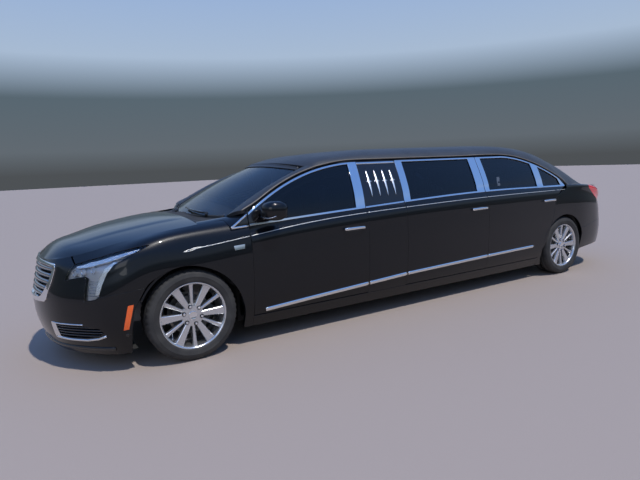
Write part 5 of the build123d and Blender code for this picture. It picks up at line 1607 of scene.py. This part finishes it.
def make_bright_frames():
    """Bright metal round the side glass, one piece for each door."""
    under_top = lowered(TOP_LINE, SHUT + FRAME_TOP)
    for door in DOORS:
        name, front, rear, _, rear_frame = door
        holes = door_windows(*door)
        if name == "front":
            end = rear - rear_frame
            foot = [(0.500, belt_at(0.500) - 0.001), (0.500, 1.065)]
            holes = [foot + top_between(under_top, 0.52, end) + [(end, belt_at(end))]]
        loops = [side_loop(hole) for hole in holes]
        outline = side_loop(frame_outline(name, front, rear))
        panel(f"bright_frame_{name}_left", SIDE, outline, "chrome", f"door_{name}_left", holes=loops, **BRIGHT)
    sail = [(0.506, 0.992), (0.506, 1.062)] + top_between(lowered(TOP_LINE, SHUT + FRAME_TOP - 0.002), 0.53, 0.66)
    sail.append((0.655, 1.004))
    thin = {"depth": 0.006, "edge": 0.001, "step": 0.02}
    panel("mirror_sail_left", SIDE, side_loop(sail), "gloss_black", "door_front_left", lift=0.001, **thin)
    tip = [(0.352, 0.984), (0.390, 1.008), (0.440, 1.043), (0.494, 1.078), (0.494, 0.976), (0.42, 0.976)]
    panel("corner_panel_left", SIDE, side_loop(tip), "gloss_black", "body", depth=0.02, edge=0.001, step=0.02)
    corners = (("high", SCREEN_CORNER + [(0.492, 1.074)]), ("low", [(0.352, 0.980), (0.42, 0.983), (0.494, 0.986)]))
    for name, path in corners:
        strip(f"corner_bright_{name}_left", SIDE, side_targets(path), 0.016, 0.005, "chrome", "body", lift=0.001)
    ends = ((FILLER_FRONT, BAND), (FILLER_FRONT, 0.002), (FILLER_REAR, 0.002), (FILLER_REAR, BAND))
    band = side_loop([(b, belt_at(b) - drop) for b, drop in ends])
    panel("bright_belt_filler_left", SIDE, band, "chrome", "body", **BRIGHT)
    top = side_targets(top_between(under_top, FILLER_FRONT, FILLER_REAR))
    strip("bright_top_filler_left", SIDE, top, 0.022, 0.006, "chrome", "body")


make_bright_frames()

MOULDINGS = (
    # name, path from the side, width, body
    ("front", [(0.600, 0.288), (1.00, 0.312), (1.640, 0.345)], 0.036, "door_front_left"),
    ("filler", [(1.660, 0.346), (2.10, 0.369)], 0.036, "body"),
    ("middle", [(2.120, 0.370), (3.243, 0.397)], 0.034, "door_middle_left"),
    ("rear", [(3.257, 0.397), (3.70, 0.405), (4.02, 0.409)], 0.033, "door_rear_left"),
)
PINSTRIPE = (
    (-0.03, 0.851), (0.16, 0.869), (0.47, 0.902), (0.95, 0.955), (1.51, 0.990), (2.14, 1.010), (3.26, 1.030), (4.56, 1.030),
)
PINSTRIPES = (
    # name, surface, start, end, body
    ("fender", FRONT, 0.03, 0.494, "body"),
    ("front", SIDE, 0.506, 1.645, "door_front_left"),
    ("filler", SIDE, 1.655, 2.105, "body"),
    ("middle", SIDE, 2.116, 3.245, "door_middle_left"),
    ("rear", SIDE, 3.256, 4.43, "door_rear_left"),
    ("quarter", REAR, 4.45, 4.62, "body"),
)
CURL = (
    (0.10, 0.868), (0.06, 0.868), (0.02, 0.862), (-0.02, 0.853), (-0.045, 0.846), (-0.02, 0.846), (0.02, 0.850),
    (0.05, 0.857),
)


def make_side_trim():
    for name, path, width, body in MOULDINGS:
        strip(f"moulding_{name}_left", SIDE, side_targets(path), width, 0.012, "chrome", body)
    for name, net, start, end, body in PINSTRIPES:
        backs = np.linspace(start, end, max(4, int((end - start) / 0.06)))
        path = side_targets([(b, value_at(PINSTRIPE, b) + 0.002) for b in backs])
        strip(f"pinstripe_{name}_left", net, path, 0.0055, 0.0008, "silver_line", body, lift=0.0006)
    strip("pinstripe_curl_left", FRONT, side_targets(CURL), 0.0045, 0.0008, "silver_line", "body", lift=0.0006)


make_side_trim()

HANDLES = (("front", 1.375, 1.600, 0.872), ("middle", 2.985, 3.215, 0.918), ("rear", 4.175, 4.395, 0.922))


def make_handles():
    cup_shape = {"lift": 0.0015, "depth": 0.003, "edge": 0.001, "step": 0.02}
    section = [(0.012 * math.cos(a), 0.006 * math.sin(a)) for a in np.linspace(0, 2 * math.pi, 12, endpoint=False)]
    for name, start, end, z in HANDLES:
        body = f"door_{name}_left"
        cup = side_loop([
            (start + 0.03, z + 0.018), (end - 0.05, z + 0.018), (end - 0.03, z), (end - 0.05, z - 0.020),
            (start + 0.05, z - 0.022), (start + 0.02, z - 0.004),
        ])
        panel(f"handle_cup_{name}_left", SIDE, cup, "matt_black", body, **cup_shape)
        backs = np.linspace(start, end, 15)
        line = [(b, z + 0.004 * math.sin((b - start) / (end - start) * math.pi)) for b in backs]
        lift = 0.004 + 0.034 * np.sin(np.linspace(0.12, math.pi - 0.12, 15)) ** 0.5
        places, normals = SIDE.lifted(side_loop(line), lift[:, None])
        points, faces = swept(places, normals, section)
        both(f"handle_{name}_left", points, faces, "chrome", body)


make_handles()


def make_marks():
    plates = (
        # name, outline from the side, material, lift, step
        ("side_marker", [(-0.464, 0.513), (-0.426, 0.518), (-0.468, 0.342), (-0.502, 0.338)], "amber", 0.002, 0.015),
        ("fender_badge", [(0.350, 0.845), (0.440, 0.849), (0.436, 0.817), (0.356, 0.812)], "chrome", 0.003, 0.012),
    )
    for name, outline, material, lift, step in plates:
        loop = FRONT.find(side_targets(outline))
        panel(f"{name}_left", FRONT, loop, material, "body", lift=lift, depth=0.004, edge=0.001, step=step)
    places, normals = FRONT.lifted(FRONT.find([(-0.477, ANY, 0.296), (-0.16, 0.845, ANY)]))
    sensor = [(0.013, -0.002), (0.013, 0.001), (0.010, 0.0022), (0.0, 0.0026)]
    lathe_both("park_sensor_left", places[0], normals[0], sensor, "gloss_black", 20)
    mast = [places[1] + np.array(rise) for rise in ((0, 0, 0), (0, 0.002, 0.030), (0, 0.004, 0.068))]
    bar("flag_holder_left", mast, 0.0035, "chrome", "body", mirror=True, up=(1, 0, 0), scale=[1.6, 1, 0.3])


make_marks()


# Wheels

TYRE_PROFILE = (
    # radius, out from the wheel's middle, 1 where the tread blocks are cut
    (0.2405, 0.092, 0), (0.2425, 0.1035, 0), (0.2500, 0.1090, 0), (0.2560, 0.1105, 0), (0.2600, 0.1150, 0),
    (0.2780, 0.1195, 0), (0.2980, 0.1215, 0), (0.3000, 0.1224, 0), (0.3020, 0.1224, 0), (0.3040, 0.1213, 0),
    (0.3220, 0.1180, 0), (0.3345, 0.1120, 0), (0.3410, 0.1050, 1), (0.3470, 0.0960, 1), (0.3505, 0.0800, 1),
    (0.3510, 0.0670, 1), (0.3445, 0.0655, 0), (0.3445, 0.0585, 0), (0.3514, 0.0570, 0), (0.3515, 0.0270, 0),
    (0.3450, 0.0258, 0), (0.3450, 0.0185, 0), (0.3515, 0.0172, 0), (0.3515, -0.0172, 0),
)
RIM_PROFILE = (
    (0.2440, 0.0960), (0.2525, 0.1040), (0.2572, 0.1085), (0.2575, 0.1115), (0.2545, 0.1125), (0.2490, 0.1105),
    (0.2430, 0.1050), (0.2400, 0.0960), (0.2370, 0.0850), (0.2330, 0.0600), (0.2290, 0.0200), (0.2290, -0.0700),
    (0.2400, -0.0950), (0.2560, -0.1080),
)
WHEEL_SIDES = 144
LUG_CIRCLE = 0.070


def turned(points, centre, side):
    """Wheel points (forward, up, out) put at a wheel's centre on the left (+1) or right (-1)."""
    points = np.array(points, float)
    return np.stack([points[:, 0] + centre[0], side * points[:, 2] + centre[1], points[:, 1] + centre[2]], axis=1)


def disc_mesh(profile, sides=48, centre=(0, 0)):
    """A turned shape on the wheel's face: the profile is (radius, out) points."""
    turns = [2 * math.pi * k / sides for k in range(sides)]
    return ringed([
        [(centre[0] + radius * math.cos(a), centre[1] + radius * math.sin(a), out) for a in turns]
        for radius, out in profile
    ])


def tyre_mesh():
    half = list(TYRE_PROFILE)
    mirrored = [(radius, -out, cut) for radius, out, cut in reversed(half)]
    rings = []
    for radius, out, cut in half + mirrored:
        ring = []
        for k in range(WHEEL_SIDES):
            angle = 2 * math.pi * (k + (0.35 if out < 0 else 0)) / WHEEL_SIDES
            depth = 0.006 if cut and k % 3 == 0 else 0
            ring.append(((radius - depth) * math.cos(angle), (radius - depth) * math.sin(angle), out))
        rings.append(ring)
    return ringed(rings)


SPOKE_STATIONS = (
    # radius, out, half width of a wide spoke and of a narrow one, thickness
    (0.040, 0.0830, 0.0180, 0.0095, 0.034), (0.075, 0.0850, 0.0200, 0.0095, 0.034),
    (0.120, 0.0880, 0.0230, 0.0105, 0.030), (0.180, 0.0925, 0.0270, 0.0125, 0.026),
    (0.225, 0.0960, 0.0310, 0.0150, 0.024), (0.243, 0.0985, 0.0350, 0.0190, 0.024),
)
BEVEL, NARROW_DIP = 0.0045, -0.003


def spoke_mesh(angle, wide):
    """One spoke: a bevelled bar that springs from the hub and spreads at the rim."""
    c, s = math.cos(angle), math.sin(angle)
    dip = 0.0 if wide else NARROW_DIP
    rings = []
    for radius, out, broad, slim, thick in SPOKE_STATIONS:
        half = broad if wide else slim
        section = (
            (-half - 0.004, out - thick), (-half, out - BEVEL + dip), (-half + BEVEL, out + dip),
            (half - BEVEL, out + dip), (half, out - BEVEL + dip), (half + 0.004, out - thick),
        )
        rings.append([(radius * c - across * s, radius * s + across * c, level) for across, level in section])
    return ringed(rings)


def merged(meshes):
    points, faces = [], []
    for more, their_faces in meshes:
        base = len(points)
        points += [tuple(p) for p in more]
        faces += [tuple(base + i for i in face) for face in their_faces]
    return points, faces


HUB = ((0.090, 0.050), (0.090, 0.074), (0.085, 0.0805), (0.060, 0.0855), (0.040, 0.0850), (0.0, 0.0850))
HUB_CAP = ((0.0335, 0.084), (0.0335, 0.0915), (0.0315, 0.0935), (0.0270, 0.0935), (0.0255, 0.0925), (0.0, 0.0945))
LUG_WELL = ((0.0165, 0.0815), (0.0165, 0.0868), (0.0155, 0.0876), (0.0145, 0.0862), (0.0, 0.0860))
LUG_NUT = ((0.0112, 0.083), (0.0112, 0.0945), (0.0092, 0.0972), (0.0, 0.0978))
VALVE = ((0.0045, 0.075), (0.0045, 0.100), (0.0030, 0.103), (0.0, 0.1035))
BRAKE_DISC = ((0.0, -0.005), (0.070, -0.005), (0.072, -0.030), (0.162, -0.032), (0.163, -0.050), (0.0, -0.052))


def on_wheel(radius, degrees):
    return radius * math.cos(math.radians(degrees)), radius * math.sin(math.radians(degrees))


def make_wheels():
    lugs = [on_wheel(LUG_CIRCLE, 15 + 60 * k) for k in range(6)]
    pieces = (
        # name, mesh, material, smooth, node that it stands for
        ("tyre", tyre_mesh(), "tyre", True, "tyre"),
        ("rim", disc_mesh(RIM_PROFILE, 96), "alloy", True, "rim"),
        ("spokes", merged(spoke_mesh(math.radians(30 * k), k % 2 == 0) for k in range(12)), "alloy", False, None),
        ("hub", disc_mesh(HUB, 60), "alloy", False, None),
        ("lug_wells", merged(disc_mesh(LUG_WELL, 20, lug) for lug in lugs), "matt_black", False, None),
        ("hub_cap", disc_mesh(HUB_CAP), "chrome", True, None),
        ("lug_nuts", merged(disc_mesh(LUG_NUT, 6, lug) for lug in lugs), "chrome", False, None),
        ("valve", disc_mesh(VALVE, 12, on_wheel(0.222, 75)), "rubber", True, None),
        ("brake_disc", disc_mesh(BRAKE_DISC, 72), "steel", False, None),
    )
    for end in ("front", "rear"):
        for side_name, side in (("left", 1), ("right", -1)):
            corner = f"{end}_{side_name}"
            centre = JOINTS[f"wheel_{corner}_spin"]["pos_m"]
            for name, (points, faces), material, smooth, node in pieces:
                replaced = (f"{node}_{corner}",) if node else ()
                faced = [tuple(reversed(f)) for f in faces] if side > 0 else faces
                places = turned(points, centre, side)
                piece = make(f"{name}_part_{corner}", places, faced, material, f"wheel_{corner}", replaces=replaced)
                if not smooth:
                    piece.data.set_sharp_from_angle(angle=math.radians(28))


make_wheels()


# Door mirrors

MIRROR_SECTIONS = (
    # out, forward, up, half depth, half height
    (0.872, 1.790, 1.084, 0.018, 0.018), (0.880, 1.788, 1.086, 0.036, 0.034), (0.900, 1.781, 1.090, 0.052, 0.049),
    (0.935, 1.766, 1.095, 0.076, 0.068), (0.975, 1.752, 1.097, 0.088, 0.076), (1.015, 1.742, 1.097, 0.088, 0.075),
    (1.040, 1.732, 1.095, 0.076, 0.064), (1.053, 1.722, 1.092, 0.056, 0.046), (1.058, 1.714, 1.089, 0.024, 0.020),
)
MIRROR_FACE = 1.662


def rounded(angle, power):
    """A superellipse's cosine and sine."""
    c, q = math.cos(angle), math.sin(angle)
    return math.copysign(abs(c) ** power, c), math.copysign(abs(q) ** power, q)


def mirror_point(section, angle):
    y, x, z, deep, high = section
    ahead, rise = rounded(angle, 0.75)
    return (max(x + deep * ahead, MIRROR_FACE), y, z + high * rise)


def make_mirrors():
    door = "door_front_left"
    turns = [2 * math.pi * k / 40 for k in range(40)]
    points, faces = ringed([[mirror_point(section, a) for a in turns] for section in MIRROR_SECTIONS])
    faces.append(tuple(reversed(range(len(turns)))))
    faces.append(tuple(range(len(points) - len(turns), len(points))))
    faces = [tuple(reversed(f)) for f in faces]
    both("mirror_shell_left", points, faces, "paint", door, replaces=("mirror_left",))
    corners = [rounded(2 * math.pi * k / 32, 0.6) for k in range(32)]
    glass = [(MIRROR_FACE - 0.0015, 0.978 + 0.066 * c, 1.096 + 0.055 * q) for c, q in corners]
    both("mirror_glass_left", glass, [tuple(range(32))], "mirror", door, smooth=False)
    line = [mirror_point(section, math.radians(-38)) for section in MIRROR_SECTIONS[1:-1]]
    bar("mirror_line_left", line, 0.0032, "chrome", door, mirror=True)
    below = [math.radians(a) for a in range(-150, -39, 10)]
    under = [[mirror_point(section, a) - np.array((0, 0, 0.001)) for a in below] for section in MIRROR_SECTIONS[1:-1]]
    both("mirror_base_left", *ringed(under, closed=False), "matt_black", door)
    arm = [(1.800, 0.866, 1.040), (1.792, 0.885, 1.045), (1.780, 0.910, 1.054), (1.770, 0.935, 1.068)]
    bar("mirror_arm_left", arm, 0.022, "gloss_black", door, mirror=True, up=(1, 0, 0))


make_mirrors()


# Seats: stuffed cushions over the CAD's plain ones

def cushion_mesh(low, high, puff, cells=(10, 10, 4)):
    """A crowned box whose sides pull in between its corners."""
    low, high = np.array(low, float), np.array(high, float)
    middle, half = (low + high) / 2, (high - low) / 2
    index, points, faces = {}, [], []

    def corner(i, j, k):
        if (i, j, k) not in index:
            t = np.array((2 * i / cells[0] - 1, 2 * j / cells[1] - 1, 2 * k / cells[2] - 1))
            round_off = 1 - 0.10 * (abs(t[0]) * abs(t[1])) ** 6 - 0.07 * (abs(t[2]) * max(abs(t[0]), abs(t[1]))) ** 5
            crown = (1 - t[0] ** 2) * (1 - t[1] ** 2)
            place = t * half * round_off
            place[2] += math.copysign(1, t[2]) * puff * (crown - 1) * abs(t[2])
            pull = 1 - 0.02 * (1 - t[2] ** 2)
            place[:2] *= pull
            index[(i, j, k)] = len(points)
            points.append(middle + place)
        return index[(i, j, k)]

    a, b, c = cells
    for i in range(a):
        for j in range(b):
            faces.append((corner(i, j, 0), corner(i, j + 1, 0), corner(i + 1, j + 1, 0), corner(i + 1, j, 0)))
            faces.append((corner(i, j, c), corner(i + 1, j, c), corner(i + 1, j + 1, c), corner(i, j + 1, c)))
    for i in range(a):
        for k in range(c):
            faces.append((corner(i, 0, k), corner(i + 1, 0, k), corner(i + 1, 0, k + 1), corner(i, 0, k + 1)))
            faces.append((corner(i, b, k), corner(i, b, k + 1), corner(i + 1, b, k + 1), corner(i + 1, b, k)))
    for j in range(b):
        for k in range(c):
            faces.append((corner(0, j, k), corner(0, j, k + 1), corner(0, j + 1, k + 1), corner(0, j + 1, k)))
            faces.append((corner(a, j, k), corner(a, j + 1, k), corner(a, j + 1, k + 1), corner(a, j, k + 1)))
    return np.array(points), faces


def leaned(points, foot, lean):
    """Backs tilt rearwards about their foot, by `lean` metres per metre of height."""
    out = np.array(points, float)
    out[:, 0] -= (out[:, 2] - foot) * lean
    return out


def stuffed(piece, reach):
    """Blows the cover up with cloth simulation, and keeps each point within `reach` of its place."""
    start = np.array([v.co[:] for v in piece.data.vertices])
    bpy.context.view_layer.objects.active = piece
    cloth = piece.modifiers.new("stuffing", "CLOTH")
    cloth.settings.use_pressure = True
    cloth.settings.uniform_pressure_force = 4.0
    cloth.settings.effector_weights.gravity = 0
    cloth.settings.quality = 4
    cloth.settings.tension_stiffness = 25
    cloth.settings.compression_stiffness = 25
    scene = bpy.context.scene
    for step in range(1, 16):
        scene.frame_set(step)
    blown = piece.evaluated_get(bpy.context.evaluated_depsgraph_get())
    moved = np.array([v.co[:] for v in blown.data.vertices]) - start
    far = np.linalg.norm(moved, axis=1)
    moved *= np.minimum(1, reach / np.maximum(far, 1e-9))[:, None]
    piece.modifiers.remove(cloth)
    for vertex, place in zip(piece.data.vertices, start + moved):
        vertex.co = place
    scene.frame_set(1)


SEAT_ROWS = (
    # name, front of the cushion, places across: (left edge, right edge), node
    ("front_left", 1.365, ((0.110, 0.630),), "front_seats"),
    ("front_right", 1.365, ((-0.630, -0.110),), None),
    ("middle", 0.035, ((0.216, 0.640), (-0.212, 0.212), (-0.640, -0.216)), "middle_seat"),
    ("rear", -1.075, ((0.199, 0.590), (-0.195, 0.195), (-0.590, -0.199)), "rear_seat"),
)
SEAT_LENGTH, SEAT_LOW, SEAT_TOP, BACK_TOP = 0.520, 0.272, 0.436, 0.975
HEADREST_HALF, BACK_LEAN = 0.135, 0.185
PAD_GAP = 0.006
STUFFING_REACH = 0.005


def make_pads(row, place, rear, front, low, high, node):
    """One place's cushion, back and headrest, with the headrest's two stems."""
    middle = (low + high) / 2
    low, high = low + PAD_GAP, high - PAD_GAP
    pads = (
        # name, low corner, high corner, crown, lean
        ("cushion", (rear + 0.006, low, SEAT_LOW), (front - 0.010, high, SEAT_TOP - 0.006), 0.014, 0),
        ("back", (rear - 0.102, low, SEAT_TOP - 0.012), (rear - 0.010, high, BACK_TOP - 0.175), 0.0, BACK_LEAN),
        (
            "headrest", (rear - 0.085, middle - HEADREST_HALF, BACK_TOP - 0.170),
            (rear - 0.020, middle + HEADREST_HALF, BACK_TOP - 0.012), 0.0, BACK_LEAN,
        ),
    )
    for name, lowest, highest, puff, lean in pads:
        points, faces = cushion_mesh(lowest, highest, puff)
        points = leaned(points, SEAT_TOP, lean)
        replaced = (node,) if node and place == 0 and name == "cushion" else ()
        piece = make(f"seat_{row}_{name}_{place}", points, faces, "leather", "body", replaces=replaced)
        stuffed(piece, STUFFING_REACH)
        smoothing = piece.modifiers.new("soft", "SUBSURF")
        smoothing.levels = smoothing.render_levels = 1
    foot = rear - 0.055 - (BACK_TOP - 0.19 - SEAT_TOP) * BACK_LEAN
    for tag, side in (("a", -0.05), ("b", 0.05)):
        stem = [(foot + 0.004, middle + side, BACK_TOP - 0.20), (foot - 0.004, middle + side, BACK_TOP - 0.15)]
        bar(f"seat_{row}_stem_{place}_2_{tag}", stem, 0.006, "steel", "body", up=(0, 1, 0))


def make_seats():
    for row, front, places, node in SEAT_ROWS:
        for place, (a, b) in enumerate(places):
            make_pads(row, place, front - SEAT_LENGTH, front, min(a, b), max(a, b), node)


make_seats()

# Looks of the pieces that stay as the CAD made them

PLAIN_NODES = (
    # node, material
    ("body_side_left", "paint"), ("body_side_right", "paint"), ("front_structure", "under"), ("rear_structure", "under"),
    ("floor_pan", "carpet"), ("front_suspension", "iron"), ("rear_suspension", "iron"), ("knuckle_left", "iron"),
    ("knuckle_right", "iron"), ("engine", "engine"), ("exhaust", "steel"), ("seat_frames", "matt_black"),
    ("dashboard", "dash"), ("steering_wheel", "leather"),
)
for node, material in PLAIN_NODES:
    plain = frame["nodes"][node]
    plain.data.materials.clear()
    plain.data.materials.append(MATERIALS[material])


# Studio: a grey floor, a soft key light and an even sky

SKY = (
    # height on the sky, colour
    (0.0, (0.10, 0.11, 0.12)), (0.04, (0.16, 0.19, 0.22)), (0.13, (0.13, 0.18, 0.22)), (0.20, (0.52, 0.66, 0.86)),
    (0.5, (0.24, 0.46, 0.98)), (1.0, (0.16, 0.36, 0.95)),
)


def make_stage():
    bpy.ops.mesh.primitive_plane_add(size=120, location=(0, 0, 0))
    floor = bpy.context.object
    floor.name = "floor"
    grey = simple("grey_floor", (0.345, 0.288, 0.255), 0.8, (60.0, 0.12, 0.004), vary=(240.0, 0.10))
    floor.data.materials.append(grey)
    world = bpy.data.worlds.new("sky")
    bpy.context.scene.world = world
    world.use_nodes = True
    nodes, links = world.node_tree.nodes, world.node_tree.links
    background = nodes["Background"]
    where = nodes.new("ShaderNodeTexCoord")
    split = nodes.new("ShaderNodeSeparateXYZ")
    links.new(where.outputs["Generated"], split.inputs["Vector"])
    ramp = nodes.new("ShaderNodeValToRGB")
    stops = ramp.color_ramp.elements
    stops[0].color = (*SKY[0][1], 1)
    stops[1].color = (*SKY[-1][1], 1)
    for place, colour in SKY[1:-1]:
        stops.new(place).color = (*colour, 1)
    links.new(split.outputs["Z"], ramp.inputs["Fac"])
    links.new(ramp.outputs["Color"], background.inputs["Color"])
    background.inputs["Strength"].default_value = 0.75

    def light(name, kind, energy, place, aim, size, colour=(1, 1, 1)):
        data = bpy.data.lights.new(name, kind)
        data.energy = energy
        data.color = colour
        if kind == "AREA":
            data.shape = "RECTANGLE"
            data.size, data.size_y = size
        elif kind == "SUN":
            data.angle = size
        lamp = bpy.data.objects.new(name, data)
        bpy.context.scene.collection.objects.link(lamp)
        lamp.location = place
        lamp.rotation_euler = (Vector(aim) - Vector(place)).to_track_quat("-Z", "Y").to_euler()

    light("sun", "SUN", 2.9, (-1.2, 4.2, 9.0), (0, 0, 0), math.radians(1.5), (1.0, 0.96, 0.90))
    light("fill", "AREA", 60, (8.0, 6.0, 4.0), (1.5, 0, 0.5), (5, 3))
    bpy.context.scene.view_settings.view_transform = "Standard"


make_stage()
